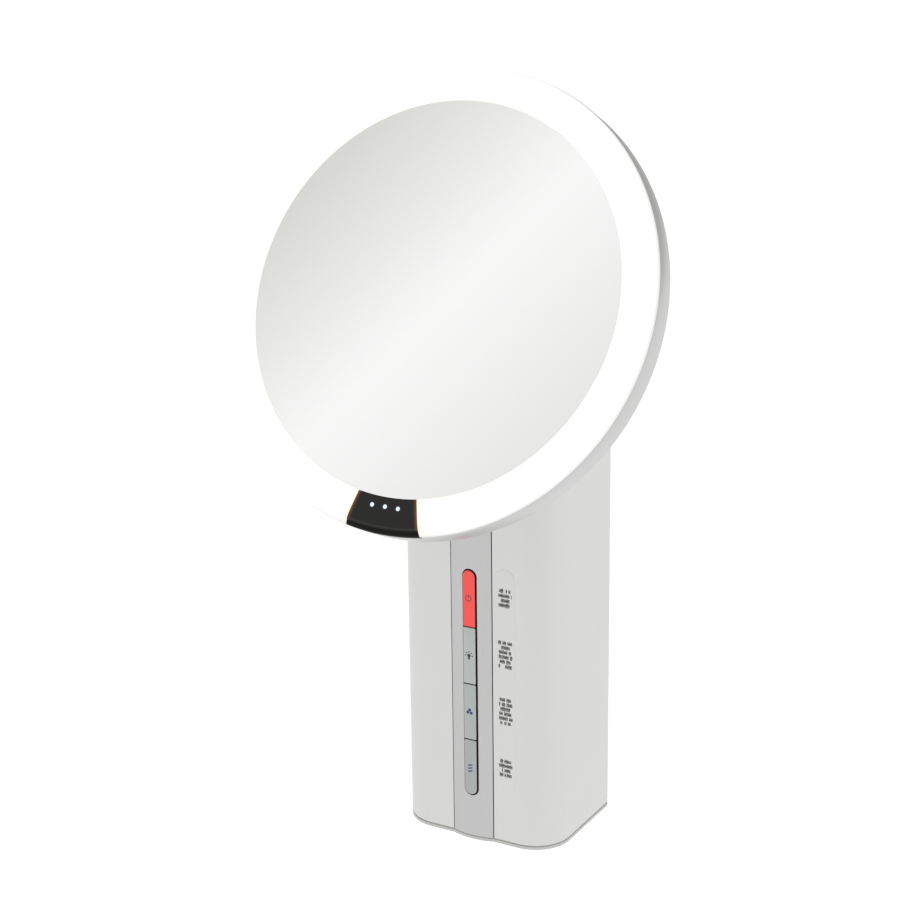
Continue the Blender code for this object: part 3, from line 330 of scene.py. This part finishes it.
def make_port():
    """Charging inlet on the back: a raised rim round a dark mouth, and the tongue in it."""
    plan = upright_plan(PORT_HALF, PORT_Z - PORT_RISE, PORT_Z + PORT_RISE, PORT_RISE, PORT_RISE)
    profile = path([(0.0, HALF_D - 0.6), (0.0, HALF_D + 0.25)],
                   rounding((0.0, HALF_D + 0.25), (0.15, HALF_D + 0.4), (0.0, HALF_D + 0.4)),
                   [(0.55, HALF_D + 0.4), (0.6, HALF_D + 0.05), (1.2, HALF_D + 0.05)])
    tongue = upright_plan(2.7, PORT_Z - 0.3, PORT_Z + 0.3, 0.2, 0.2)
    depth = path([(0.0, HALF_D - 0.2), (0.0, HALF_D + 0.25)], [(0.08, HALF_D + 0.3)])
    return make_slab("port_rim", plan, profile), make_slab("port_tongue", tongue, depth)


# ---- head -----------------------------------------------------------------------------------
def dome(radius):
    """Light ring's face: nearly flat, falling back with the sixth power of the way across."""
    start = GLASS_R + 0.3
    across = np.clip((radius - start) / (DOME_R - start), 0.0, 1.0)
    return -DOME_DROP * across ** 6


def window_edge(radius, ease=0.0):
    """Half angle of the window's straight side at a radius, measured from six o'clock.

    The side is the line x = w + s (down - d); on a circle that is atan(s) + asin(c / r root(1+s^2)).
    """
    slope = (WINDOW_OUT[0] - WINDOW_IN[0]) / (WINDOW_OUT[1] - WINDOW_IN[1])
    reach = WINDOW_IN[0] + ease - slope * WINDOW_IN[1]
    return np.arctan(slope) + np.arcsin(reach / (radius * np.sqrt(1 + slope ** 2)))


def sweep(profile, first, last, count):
    """Closed (radius, height) profile swept between two angles that may depend on the radius."""
    r, z = np.array(profile, float).T
    t = np.linspace(0.0, 1.0, count)[:, None]
    angle = first(r) + (last(r) - first(r)) * t
    return np.stack([r * np.cos(angle), r * np.sin(angle), np.broadcast_to(z, angle.shape)], -1)


SIX = -np.pi / 2


def make_diffuser():
    """Dished section of the light ring swept from one side of the window round to the other."""
    inner = GLASS_R + 0.06
    r = np.append(np.linspace(inner + 0.03, 96.0, 16), np.linspace(96.4, DOME_R - 0.45, 12))
    profile = path([(inner, -3.0), (inner, -0.03)], np.stack([r, dome(r)], -1),
                   rounding((DOME_R - 0.45, dome(DOME_R - 0.45)), (DOME_R, -DOME_DROP - 0.45),
                            (DOME_R, dome(DOME_R - 0.45) - 0.1))[1:],
                   [(DOME_R, -2.8), (97.3, -2.8), (96.0, -3.4)])
    grid = sweep(profile, lambda q: SIX + window_edge(q, 0.7),
                 lambda q: SIX + 2 * np.pi - window_edge(q, 0.7), 420)
    return solid("light_ring", on_face(grid))


def make_window():
    """Gloss window: nearly flat, a fine step near its outer edge, then a lip down over the rim."""
    inner, edge = GLASS_R + 0.08, RIM_R - 0.05
    r = np.linspace(inner + 0.12, 97.2, 14)
    profile = path([(inner, -2.8), (inner, -0.1)], np.stack([r, dome(r)], -1),
                   [(97.5, dome(97.5) - 0.12), (97.7, dome(97.7) - 0.42)],
                   rounding((98.3, dome(98.3) - 0.45), (edge, -3.0), (edge - 0.2, -2.1)),
                   [(edge, -WINDOW_LIP), (98.0, -WINDOW_LIP), (98.0, -2.8)])
    grid = sweep(profile, lambda q: SIX - window_edge(q, 0.64), lambda q: SIX + window_edge(q, 0.64), 60)
    return solid("touch_window_gloss", on_face(grid))


def make_dots():
    """Three low domes of light: rings of falling radius and rising height."""
    dots = []
    for i in (-1, 0, 1):
        profile = path([(DOT_R, -1.0), (DOT_R, -0.12), (DOT_R * 0.85, 0.0), (DOT_R * 0.5, 0.08),
                        (DOT_R * 0.2, 0.1)])
        grid = turn(profile, 32) + (i * DOT_PITCH, -DOT_DOWN, 0.0)
        dots.append(solid("indicator_%d" % (i + 2), on_face(grid)))
    return dots


def make_rim():
    """Rim band; its front edge drops behind the window's lip between the window's sides."""
    inner = RIM_R - 2.4
    count = 512
    angle = np.linspace(0, 2 * np.pi, count, endpoint=False)
    away = np.abs((angle - SIX + np.pi) % (2 * np.pi) - np.pi)
    top = np.where(away < window_edge(RIM_R, 0.9), -WINDOW_LIP - 0.2, -3.0)
    back = -HEAD_T
    rows = [(inner, top), (RIM_R - 0.5, top), (RIM_R - 0.15, top - 0.12), (RIM_R, top - 0.45)]
    rows += [(RIM_R, -9.0 + 0 * top)]
    bend = rounding((RIM_R, back + 1.6), (RIM_R - 1.4, back), (RIM_R - 0.1, back + 0.1), 8)
    rows += [(r, z + 0 * top) for r, z in bend] + [(inner, back + 0 * top)]
    grid = np.stack([np.stack([r * np.cos(angle), r * np.sin(angle), z], -1) for r, z in rows])
    return solid("rim_ring", on_face(grid), wrap_rows=True)


def make_glass():
    edge = 0.1
    profile = path([(0.5, -3.0), (GLASS_R, -3.0), (GLASS_R, -edge)],
                   [(GLASS_R - edge, 0.0), (40.0, 0.0), (1.0, 0.0)])
    return solid("mirror_face", on_face(turn(profile)), sharp=20.0)


def make_rear_cover():
    """Back of the head: flat, with a shallow round step and an eased outer edge."""
    r, back = RIM_R - 2.7, -HEAD_T
    profile = path([(1.0, back + 1.8), (r - 1.6, back + 1.8), (r - 1.6, back + 3.6), (r, back + 3.6)],
                   rounding((r, back + 1.0), (r - 1.0, back), (r, back)),
                   [(64.0, back), (63.4, back + 0.5), (62.2, back + 0.5), (61.6, back), (1.0, back)])
    return solid("rear_shell", on_face(turn(profile)))


# ---- shader maths ---------------------------------------------------------------------------
class Link:
    """One output socket of a material; arithmetic on it adds Math nodes."""

    def __init__(self, finish, socket):
        self.finish, self.socket = finish, socket

    def _do(self, operation, *values):
        return self.finish.node("ShaderNodeMath", {"operation": operation}, dict(enumerate(values)))

    def __add__(self, other): return self._do("ADD", self, other)
    def __radd__(self, other): return self._do("ADD", other, self)
    def __sub__(self, other): return self._do("SUBTRACT", self, other)
    def __rsub__(self, other): return self._do("SUBTRACT", other, self)
    def __mul__(self, other): return self._do("MULTIPLY", self, other)
    def __rmul__(self, other): return self._do("MULTIPLY", other, self)
    def __truediv__(self, other): return self._do("DIVIDE", self, other)
    def __neg__(self): return self._do("MULTIPLY", self, -1.0)
    def __abs__(self): return self._do("ABSOLUTE", self)
    def __pow__(self, other): return self._do("POWER", self, other)
    def at_least(self, other): return self._do("MAXIMUM", self, other)
    def root(self): return self._do("SQRT", self)
    def fraction(self): return self._do("FRACT", self)
    def floor(self): return self._do("FLOOR", self)


class Tree:
    """A node tree that is built up from links."""

    def __init__(self, tree):
        self.nodes, self.links = tree.nodes, tree.links

    def node(self, kind, settings=None, values=None, output=0):
        """Adds one node: its settings first, then its sockets' values or links."""
        made = self.nodes.new(kind)
        for key, value in (settings or {}).items():
            setattr(made, key, value)
        for key, value in (values or {}).items():
            if isinstance(value, Link):
                self.links.new(value.socket, made.inputs[key])
            else:
                made.inputs[key].default_value = value
        return Link(self, made.outputs[output])

    def split(self, vector):
        parts = self.node("ShaderNodeSeparateXYZ", {}, {0: vector})
        return [Link(self, socket) for socket in parts.socket.node.outputs]

    def ease(self, value, low, high, to_low=0.0, to_high=1.0):
        """Smooth step from to_low to to_high as value goes from low to high."""
        return self.node("ShaderNodeMapRange", {"interpolation_type": "SMOOTHSTEP"},
                         {0: value, 1: low, 2: high, 3: to_low, 4: to_high})

    def curve(self, value, points):
        """Straight pieces through (value, level) points, flat beyond the first and the last."""
        total = points[0][1]
        for (a, low), (b, high) in zip(points, points[1:]):
            total = self.node("ShaderNodeMapRange", {}, {0: value, 1: a, 2: b, 3: 0.0, 4: high - low}) + total
        return total

    def mix(self, amount, first, second):
        """Colour mix; first where amount is 0, second where it is 1."""
        values = {0: amount}
        for index, colour in ((6, first), (7, second)):
            values[index] = colour if isinstance(colour, Link) else (*colour, 1.0)
        return self.node("ShaderNodeMix", {"data_type": "RGBA"}, values, output=2)


class Finish(Tree):
    """A Principled material built up from links."""

    def __init__(self, name, colour, roughness, metallic=0.0, **steady):
        self.material = bpy.data.materials.new(name)
        self.material.use_nodes = True
        super().__init__(self.material.node_tree)
        self.shader = self.nodes["Principled BSDF"]
        self.set("Base Color", (*colour, 1.0))
        self.set("Roughness", roughness)
        self.set("Metallic", metallic)
        for key, value in steady.items():
            self.set(key.replace("_", " ").title().replace("Ior", "IOR"), value)
        self.material.diffuse_color = (*colour, 1.0)

    def set(self, socket, value):
        """Puts a number, a colour or a link on one of the shader's sockets."""
        target = self.shader.inputs[socket]
        if isinstance(value, Link):
            self.links.new(value.socket, target)
        else:
            target.default_value = value
        return self

    def places(self, centre=(0.0, 0.0, 0.0), turn=(0.0, 0.0, 0.0)):
        """Object coordinates in millimetres, as a vector and as x, y and z."""
        where = self.node("ShaderNodeTexCoord", output=3)
        mapped = self.node("ShaderNodeMapping", {"vector_type": "TEXTURE"},
                           {0: where, 1: tuple(c * MM for c in centre), 2: turn, 3: (MM, MM, MM)})
        return mapped, *self.split(mapped)

    def head_places(self):
        """The same, in the head's own axes: right, up the face, out of the glass."""
        return self.places(tuple(HEAD_CENTRE), (math.pi / 2 - TILT, 0.0, 0.0))

    def noise(self, vector, scale, detail=3.0, roughness=0.5, stretch=None):
        if stretch is not None:
            vector = self.node("ShaderNodeVectorMath", {"operation": "MULTIPLY"}, {0: vector, 1: stretch})
        return self.node("ShaderNodeTexNoise", {}, {"Vector": vector, "Scale": scale, "Detail": detail,
                                                    "Roughness": roughness})

    def bump(self, height, strength, distance=0.0001):
        self.set("Normal", self.node("ShaderNodeBump", {}, {"Height": height, "Strength": strength,
                                                            "Distance": distance}))
        return self


# ---- finishes -------------------------------------------------------------------------------
def pearl_finish(name, colour=(0.69, 0.69, 0.68), metallic=0.65, roughness=0.38):
    """Satin pearl moulding: a fine flake in its colour and a faint unevenness in its gloss."""
    f = Finish(name, colour, roughness, metallic)
    where = f.places()[0]
    flake = f.noise(where, 9.0, 2.0, 0.6)
    cloud = f.noise(where, 0.06, 3.0, 0.5)
    face = f.mix(f.ease(flake, 0.35, 0.65), tuple(c * 0.975 for c in colour), colour)
    f.set("Base Color", face)
    f.set("Roughness", roughness - 0.04 + cloud * 0.08)
    f.bump(flake, 0.05, 0.00002)
    return f.material


def strip_finish():
    """Fine-brushed bright metal, the brushing running up and down; painted shade makes its side faces near
    black.
    """
    f = Finish("strip_metal", (0.56, 0.57, 0.58), 0.36, 1.0)
    where, x, _, _ = f.places()
    streak = f.noise(where, 1.0, 4.0, 0.65, (9.0, 9.0, 0.05))
    fine = f.noise(where, 1.0, 2.0, 0.5, (30.0, 30.0, 0.15))
    grain = streak * 0.6 + fine * 0.4
    face = f.mix(f.ease(grain, 0.3, 0.7), (0.50, 0.50, 0.50), (0.55, 0.55, 0.55))
    # painted shade: the strip's two side faces, down in the gap beside the column wall, are made near black
    # to stand in for the shade in that gap
    f.set("Base Color", f.mix(f.ease(abs(x), 10.12, 10.22), face, (0.01, 0.01, 0.01)))
    f.set("Roughness", 0.31 + grain * 0.1)
    f.bump(grain, 0.08, 0.00003)
    return f.material


def plain_finish(name, colour, roughness, metallic=0.0, grain=0.03, size=1.5, **steady):
    """Moulded or machined surface with a fine even grain."""
    f = Finish(name, colour, roughness, metallic, **steady)
    where = f.places()[0]
    speck = f.noise(where, size, 3.0, 0.6)
    shade = tuple(c * (1 - 2 * grain) for c in colour)
    f.set("Base Color", f.mix(f.ease(speck, 0.35, 0.65), shade, colour))
    f.set("Roughness", roughness - grain + speck * 2 * grain)
    f.bump(speck, 0.06, 0.00003)
    return f.material


def key_finish(name, colour, ink, marking, middle_z, glow=0.0):
    """Satin key with its sign printed at the middle: marking gives the ink's cover from x and z."""
    f = Finish("key_" + name, colour, 0.42, emission_strength=glow)
    where, x, y, z = f.places()
    speck = f.noise(where, 4.0, 2.0, 0.5)
    ground = f.mix(f.ease(speck, 0.35, 0.65), tuple(c * 0.97 for c in colour), colour)
    cover = marking(f, x + 0.3, z - middle_z)
    face = f.mix(cover, ground, ink)
    # painted shade: the key's sides behind its face are made near black, standing in for the shadowed gap
    # round the key
    face = f.mix(f.ease(y, KEY_FRONT + 0.16, KEY_FRONT + 0.3), face, (0.006, 0.006, 0.006))
    f.set("Base Color", face)
    # painted light: a glow above nothing makes the key shine in its own colours, lifting it brighter than the
    # lamps light it
    f.set("Emission Color", face)
    f.bump(speck, 0.05, 0.00002)
    return f.material


def disc(f, x, z, cx, cz, radius, soft=0.08):
    """1 inside a circle, 0 outside, over a soft edge."""
    away = ((x - cx) ** 2.0 + (z - cz) ** 2.0).root()
    return f.ease(away, radius - soft, radius + soft, 1.0, 0.0)


def bar(f, x, z, cx, cz, half_w, half_h, soft=0.08):
    """1 inside an upright box."""
    return (f.ease(abs(x - cx), half_w - soft, half_w + soft, 1.0, 0.0)
            * f.ease(abs(z - cz), half_h - soft, half_h + soft, 1.0, 0.0))


def power_sign(f, x, z):
    ring = disc(f, x, z, 0.0, 0.0, 1.55) * (1.0 - disc(f, x, z, 0.0, 0.0, 1.15))
    gap = 1.0 - bar(f, x, z, 0.0, 1.3, 0.5, 0.9)
    return (ring * gap).at_least(bar(f, x, z, 0.0, 0.85, 0.2, 0.85))


def lamp_sign(f, x, z):
    bulb = disc(f, x, z, 0.0, 0.1, 0.85).at_least(bar(f, x, z, 0.0, -1.0, 0.45, 0.75))
    angle = f.node("ShaderNodeMath", {"operation": "ARCTAN2"}, {0: z - 0.1, 1: x})
    away = (x ** 2.0 + (z - 0.1) ** 2.0).root()
    spoke = f.ease(abs((angle / (math.pi / 4) + 0.5).fraction() - 0.5), 0.12, 0.22, 1.0, 0.0)
    band = f.ease(away, 1.3, 1.4) * f.ease(away, 2.05, 2.15, 1.0, 0.0)
    return bulb.at_least(spoke * band * f.ease(z, -0.5, -0.3))


def dots_sign(f, x, z):
    return (disc(f, x, z, 0.0, 1.2, 0.76).at_least(disc(f, x, z, -0.85, -0.05, 0.76))
            .at_least(disc(f, x, z, 0.85, -0.2, 0.76)))


def bars_sign(f, x, z):
    slant = z - x * 0.28
    ends = f.ease(abs(x), 1.05, 1.2, 1.0, 0.0)
    rows = None
    for middle in (1.5, 0.0, -1.5):
        row = f.ease(abs(slant - middle), 0.26, 0.40, 1.0, 0.0)
        rows = row if rows is None else rows.at_least(row)
    return rows * ends


def label_finish():
    """Matt print panel; rows of plain ticks of mixed width and height stand in for lines of print."""
    f = Finish("label_print", (0.70, 0.70, 0.69), 0.42, 0.5)
    where, x, _, z = f.places()
    pitch, cell = 2.25, 0.62
    ink = None
    for middle, lines in ((120.5, 4), (93.7, 6), (66.3, 6), (38.5, 4)):
        row = (z - middle) / pitch + lines / 2
        inside = f.ease(abs(z - middle), lines * pitch / 2 - 0.05, lines * pitch / 2 + 0.05, 1.0, 0.0)
        number = row.floor()
        column = (x - LABEL_X) / cell + 40.0
        pair = f.node("ShaderNodeCombineXYZ", {}, {0: column.floor(), 1: number + middle})
        chance = f.node("ShaderNodeTexWhiteNoise", {"noise_dimensions": "2D"}, {0: pair})
        tall = 0.30 + chance * 0.16
        in_row = 1.0 - f.node("ShaderNodeMath", {"operation": "GREATER_THAN"},
                              {0: abs(row.fraction() - 0.5), 1: tall})
        stroke = f.ease(abs(column.fraction() - 0.4), 0.24, 0.44, 1.0, 0.0)
        foot = f.ease(abs(row.fraction() - 0.3 - chance * 0.4), 0.05, 0.14, 1.0, 0.0)
        length = 2.2 + (number * 1.618 + middle).fraction() * 1.6
        wide = f.ease(abs(x - LABEL_X), length, length + 0.1, 1.0, 0.0)
        block = inside * wide * in_row * stroke.at_least(foot) * f.ease(chance, 0.08, 0.2)
        ink = block if ink is None else ink.at_least(block)
    speck = f.noise(where, 5.0, 2.0, 0.5)
    ground = f.mix(f.ease(speck, 0.35, 0.65), (0.69, 0.69, 0.68), (0.72, 0.72, 0.71))
    f.set("Base Color", f.mix(ink, ground, (0.012, 0.012, 0.014)))
    f.bump(speck, 0.05, 0.00002)
    return f.material


def light_finish():
    """Lit diffuser: white, creamy at its inner edge, rosier beside the window, cooler down its side."""
    f = Finish("lit_diffuser", (0.10, 0.10, 0.10), 0.5, 0.0, emission_strength=1.0)
    _, x, y, z = f.head_places()
    away = (x ** 2.0 + y ** 2.0).root()
    cream = f.ease(away, GLASS_R, GLASS_R + 3.2, 1.0, 0.0) * f.ease(x, 30.0, 75.0, 0.5, 0.1)
    colour = f.mix(cream, (1.0, 1.0, 0.985), (1.0, 0.97, 0.80))
    edge = abs(x) - (-y * 0.268 - 8.65)
    low = f.ease(y, -70.0, -82.0)
    colour = f.mix(f.ease(edge, 0.0, 2.4, 1.0, 0.0) * low * 0.8, colour, (1.0, 0.86, 0.68))
    rosy = f.ease(edge, 0.0, 9.0, 1.0, 0.0) * low * f.ease(away, 89.0, 98.0)
    colour = f.mix(rosy * 0.75, colour, (1.0, 0.82, 0.75))
    side = f.ease(z, -2.3, -1.1, 1.0, 0.0)
    colour = f.mix(side, colour, (0.66, 0.67, 0.655))
    f.set("Emission Color", colour)
    return f.material


def window_finish():
    """Gloss black: brown light leaks in at both sides, blue light round each indicator.

    Past the fine step the lip is deep black, so it is made to mirror almost nothing.
    """
    f = Finish("window_gloss", (0.011, 0.0105, 0.0095), 0.22, 0.0, specular_ior_level=0.22,
               emission_strength=1.0)
    _, x, y, _ = f.head_places()
    away = (x ** 2.0 + y ** 2.0).root()
    side = -y * 0.268 - 8.7
    near = f.ease(side - abs(x), 0.0, 2.6, 1.0, 0.0)
    near = near * near
    lip = f.ease(away, 97.25, 97.6)
    halo = None
    for i in (-1.0, 0.0, 1.0):
        gap = ((x - i * DOT_PITCH) ** 2.0 + (y + DOT_DOWN) ** 2.0).root()
        ring = f.ease(gap, 0.7, 2.0, 1.0, 0.0)
        halo = ring if halo is None else halo.at_least(ring)
    # painted highlight: a pale line along the fine step; the face also carries a faint painted glow all over,
    # and the lip a faint glow of its own
    line = f.ease(abs(away - 96.9), 0.0, 0.3, 1.0, 0.0)
    glow = f.mix(near, (0.004, 0.004, 0.0035), (0.13, 0.052, 0.02))
    glow = f.mix(halo * halo, glow, (0.012, 0.025, 0.09))
    glow = f.mix(line * 0.5, glow, (0.035, 0.034, 0.032))
    f.set("Emission Color", f.mix(lip, glow, (0.010, 0.010, 0.0085)))
    f.set("Base Color", f.mix(lip, (0.011, 0.0105, 0.0095), (0.004, 0.004, 0.004)))
    f.set("Metallic", lip)
    return f.material


def glow_finish():
    """Cool white indicator light."""
    f = Finish("indicator_glow", (0.05, 0.06, 0.08), 0.3, 0.0, emission_strength=1.0)
    z = f.head_places()[3]
    f.set("Emission Color", f.mix(f.ease(z, -0.15, 0.05), (0.30, 0.48, 0.88), (0.82, 0.93, 1.0)))
    return f.material


def port_finish():
    """Bright rim; the mouth's shallow floor is painted near black: painted shade standing in for a deep
    opening.
    """
    f = Finish("port_metal", (0.6, 0.6, 0.61), 0.3, 1.0)
    where, _, y, _ = f.places()
    speck = f.noise(where, 3.0, 2.0, 0.5)
    metal = f.mix(speck, (0.56, 0.56, 0.57), (0.64, 0.64, 0.65))
    # painted shade: everything behind the rim's front is made near black
    f.set("Base Color", f.mix(f.ease(y, HALF_D + 0.15, HALF_D + 0.3), (0.008, 0.008, 0.008), metal))
    return f.material


def glass_finish():
    """Silvered glass: almost flawless, the faintest unevenness in its gloss."""
    f = Finish("silvered_glass", (0.94, 0.945, 0.94), 0.02, 1.0)
    where = f.head_places()[0]
    f.set("Roughness", 0.015 + f.noise(where, 0.05, 2.0) * 0.02)
    return f.material


PEARL = pearl_finish("pearl_body")
STEEL = plain_finish("bright_steel", (0.62, 0.62, 0.63), 0.22, 1.0, 0.02, 3.0)
SATIN_METAL = plain_finish("satin_metal", (0.66, 0.67, 0.68), 0.3, 1.0, 0.02, 2.0)
RIM_FINISH = pearl_finish("rim_satin", (0.60, 0.605, 0.60), 0.6, 0.36)
BLACK_RUBBER = plain_finish("black_rubber", (0.02, 0.02, 0.02), 0.8, 0.0, 0.05, 0.8)

place(make_column(), "column", "column_shell", PEARL, "column_shell")
BASE_FINISH = plain_finish("base_band_paint", (0.62, 0.62, 0.61), 0.6, specular_ior_level=0.2)
place(make_base(), "column", "base_plate", BASE_FINISH, "base_plate")
place(make_cap(), "column", "top_cap", PEARL, "top_cap")
place(make_strip(), "column", "control_strip", strip_finish(), "control_strip")
label_profile = path([(0.0, -HALF_D + 0.5), (0.0, -HALF_D - 0.02)],
                     rounding((0.0, -HALF_D - 0.02), (0.25, -HALF_D - 0.1), (0.02, -HALF_D - 0.1)))
label_plan = upright_plan(LABEL_HALF, *LABEL_Z, LABEL_HALF, LABEL_HALF, 24)
place(make_slab("label_plate", label_plan, label_profile, LABEL_X), "column", "label_panel",
      label_finish(), "label_panel")

SIGNS = {
    # painted light: the power key's last number is a glow that lifts its red brighter
    "power": ((0.86, 0.07, 0.065), (0.16, 0.02, 0.025), power_sign, 0.22),
    # painted shade: the three grey keys are one grey, made a step darker for each key lower down
    "light": ((0.52, 0.56, 0.545), (0.015, 0.02, 0.03), lamp_sign, 0.0),
    "tone": ((0.48, 0.52, 0.505), (0.03, 0.045, 0.15), dots_sign, 0.0),
    "level": ((0.44, 0.48, 0.465), (0.03, 0.045, 0.15), bars_sign, 0.0),
}
for order, (name, key) in enumerate(make_keys()):
    colour, ink, sign, glow = SIGNS[name]
    middle_z = KEYS_LOW + (order + 0.5) * KEY_PITCH
    finish = key_finish(name, colour, ink, sign, middle_z, glow)
    place(key, "key_%s_body" % name, "key_" + name, finish, "key_" + name)

for side, plug in make_plugs():
    place(plug, "column", "cap_screw_" + side, PEARL, "cap_screw_" + side)
port_rim, port_tongue = make_port()
place(port_rim, "column", "charge_port", port_finish(), "charge_port")
place(port_tongue, "column", "charge_port", SATIN_METAL)

place(make_diffuser(), "head", "diffuser_ring", light_finish(), "diffuser_ring")
place(make_window(), "head", "touch_window", window_finish(), "touch_window")
GLOW = glow_finish()
for number, dot in enumerate(make_dots()):
    place(dot, "head", "indicator_pipe", GLOW, *(["indicator_pipe"] if number == 0 else []))
place(make_rim(), "head", "rim_band", RIM_FINISH, "rim_band")
place(make_glass(), "head", "mirror_glass", glass_finish(), "mirror_glass")
place(make_rear_cover(), "head", "rear_cover", PEARL, "rear_cover")

CARRIED = {
    "steel": (STEEL, ("base_screw", "tie_screw", "cap_screw", "bracket_screw", "mast_tube", "hinge_pin",
                      "charge_port")),
    "metal": (SATIN_METAL, ("hinge_yoke", "hinge_cap", "hinge_bracket", "mast_guide", "back_plate")),
    "rubber": (BLACK_RUBBER, ("anti_slip_pad",)),
    "iron": (plain_finish("cast_weight", (0.20, 0.20, 0.21), 0.55, 1.0, 0.06, 0.6), ("ballast_weight",)),
    "board": (plain_finish("circuit_board", (0.02, 0.16, 0.07), 0.4, 0.0, 0.05, 0.7),
              ("main_board", "key_board", "head_driver_board", "touch_board")),
    "cell": (plain_finish("cell_sleeve", (0.04, 0.14, 0.34), 0.35), ("battery_cell",)),
    "brass": (plain_finish("washer_brass", (0.60, 0.46, 0.22), 0.35, 1.0), ("friction_washer",)),
    "dark": (plain_finish("dark_moulding", (0.05, 0.05, 0.055), 0.55),
             ("switch_", "battery_holder", "inner_chassis")),
    "pale": (plain_finish("pale_moulding", (0.72, 0.72, 0.70), 0.5),
             ("guide_bush", "mast_foot", "mirror_carrier", "reflector_tray", "led_board")),
}
for material, starts in CARRIED.values():
    for name, node in frame["nodes"].items():
        if name.startswith(starts) and not node.hide_render:
            node.data.materials.clear()
            node.data.materials.append(material)


# ---- floor, light and camera ----------------------------------------------------------------
CAMERA_AT = np.array([438.0, -806.0, 464.0])
AZIMUTH, ELEVATION, ROLL = (math.radians(a) for a in (30.0, 17.3, -0.8))
LENS, SENSOR = 86.0, 36.0
CAM_BACK = np.array([math.sin(AZIMUTH) * math.cos(ELEVATION), -math.cos(AZIMUTH) * math.cos(ELEVATION),
                     math.sin(ELEVATION)])
LEVEL_RIGHT = np.array([math.cos(AZIMUTH), math.sin(AZIMUTH), 0.0])
LEVEL_UP = np.cross(CAM_BACK, LEVEL_RIGHT)
CAM_RIGHT = math.cos(ROLL) * LEVEL_RIGHT + math.sin(ROLL) * LEVEL_UP
CAM_UP = math.cos(ROLL) * LEVEL_UP - math.sin(ROLL) * LEVEL_RIGHT


def make_floor():
    """Wide plain white floor with an even glow."""
    half = 12.0
    mesh = bpy.data.meshes.new("floor")
    corners = [(-half, -half, 0.0), (half, -half, 0.0), (half, half, 0.0), (-half, half, 0.0)]
    mesh.from_pydata(corners, [], [(0, 1, 2, 3)])
    floor = bpy.data.objects.new("floor", mesh)
    bpy.context.scene.collection.objects.link(floor)
    finish = Finish("floor_white", (0.1, 0.1, 0.1), 0.9, emission_strength=1.0)
    finish.set("Emission Color", (1.0, 1.0, 1.0, 1.0))
    floor.data.materials.append(finish.material)


def make_world():
    """Pale surroundings with a big card of light front left and a smaller one on the right.

    The left card's light changes along one slanting line, which the mirror shows as a soft band.
    """
    world = bpy.data.worlds.new("studio")
    world.use_nodes = True
    bpy.context.scene.world = world
    t = Tree(world.node_tree)
    where = t.node("ShaderNodeTexCoord")
    x, y, z = t.split(where)
    across = t.node("ShaderNodeVectorMath", {"operation": "DOT_PRODUCT"}, {0: where, 1: BAND_ACROSS},
                    output=1)
    azimuth = t.node("ShaderNodeMath", {"operation": "ARCTAN2"}, {0: x, 1: -y})

    def card(middle, half, soft, low, high, soft_up):
        inside, outside = math.radians(half - soft), math.radians(half + soft)
        wide = t.ease(abs(azimuth - math.radians(middle)), inside, outside, 1.0, 0.0)
        return (wide * t.ease(z, low - soft_up, low + soft_up)
                * t.ease(z, high - soft_up, high + soft_up, 1.0, 0.0))

    left = card(-34.0, 38.0, 12.0, -0.5, 0.82, 0.12)
    right = card(102.0, 24.0, 12.0, -0.5, 0.6, 0.15)
    base = t.ease(z, 0.5, 0.95, WORLD_BASE, WORLD_TOP)
    tone = t.curve(across, BAND)
    level = base + left * (tone - base)
    level = level + right * (WORLD_RIGHT - level)
    warm = t.ease(level, 0.70, 0.95, 0.965, 0.995)
    colour = t.node("ShaderNodeCombineXYZ", {}, {0: level, 1: level * 0.997, 2: level * warm})
    background = t.nodes["Background"]
    t.links.new(colour.socket, background.inputs[0])


def mirrored(view):
    """A direction as the glass turns it round."""
    return view - 2 * FACE_OUT * (FACE_OUT @ view)


# seen in the glass, this runs from the upper left to the lower right
BAND_ACROSS = tuple((mirrored(CAM_RIGHT) - mirrored(CAM_UP)) / math.sqrt(2))
BAND = [(-0.14, 0.70), (-0.05, 1.0), (0.03, 0.85)]      # dimmer, bright, a little dimmer again
WORLD_BASE, WORLD_TOP, WORLD_RIGHT = 0.45, 0.70, 1.2

make_floor()
make_world()

camera_data = bpy.data.cameras.new("camera")
camera_data.lens, camera_data.sensor_width = LENS, SENSOR
camera_data.clip_start, camera_data.clip_end = 0.01, 50.0
camera = bpy.data.objects.new("camera", camera_data)
camera.matrix_world = Matrix([
    [*row, place_m] for row, place_m in zip(np.stack([CAM_RIGHT, CAM_UP, CAM_BACK], -1), CAMERA_AT * MM)]
    + [[0.0, 0.0, 0.0, 1.0]])
bpy.context.scene.collection.objects.link(camera)
bpy.context.scene.camera = camera
bpy.context.scene.view_settings.view_transform = "Standard"
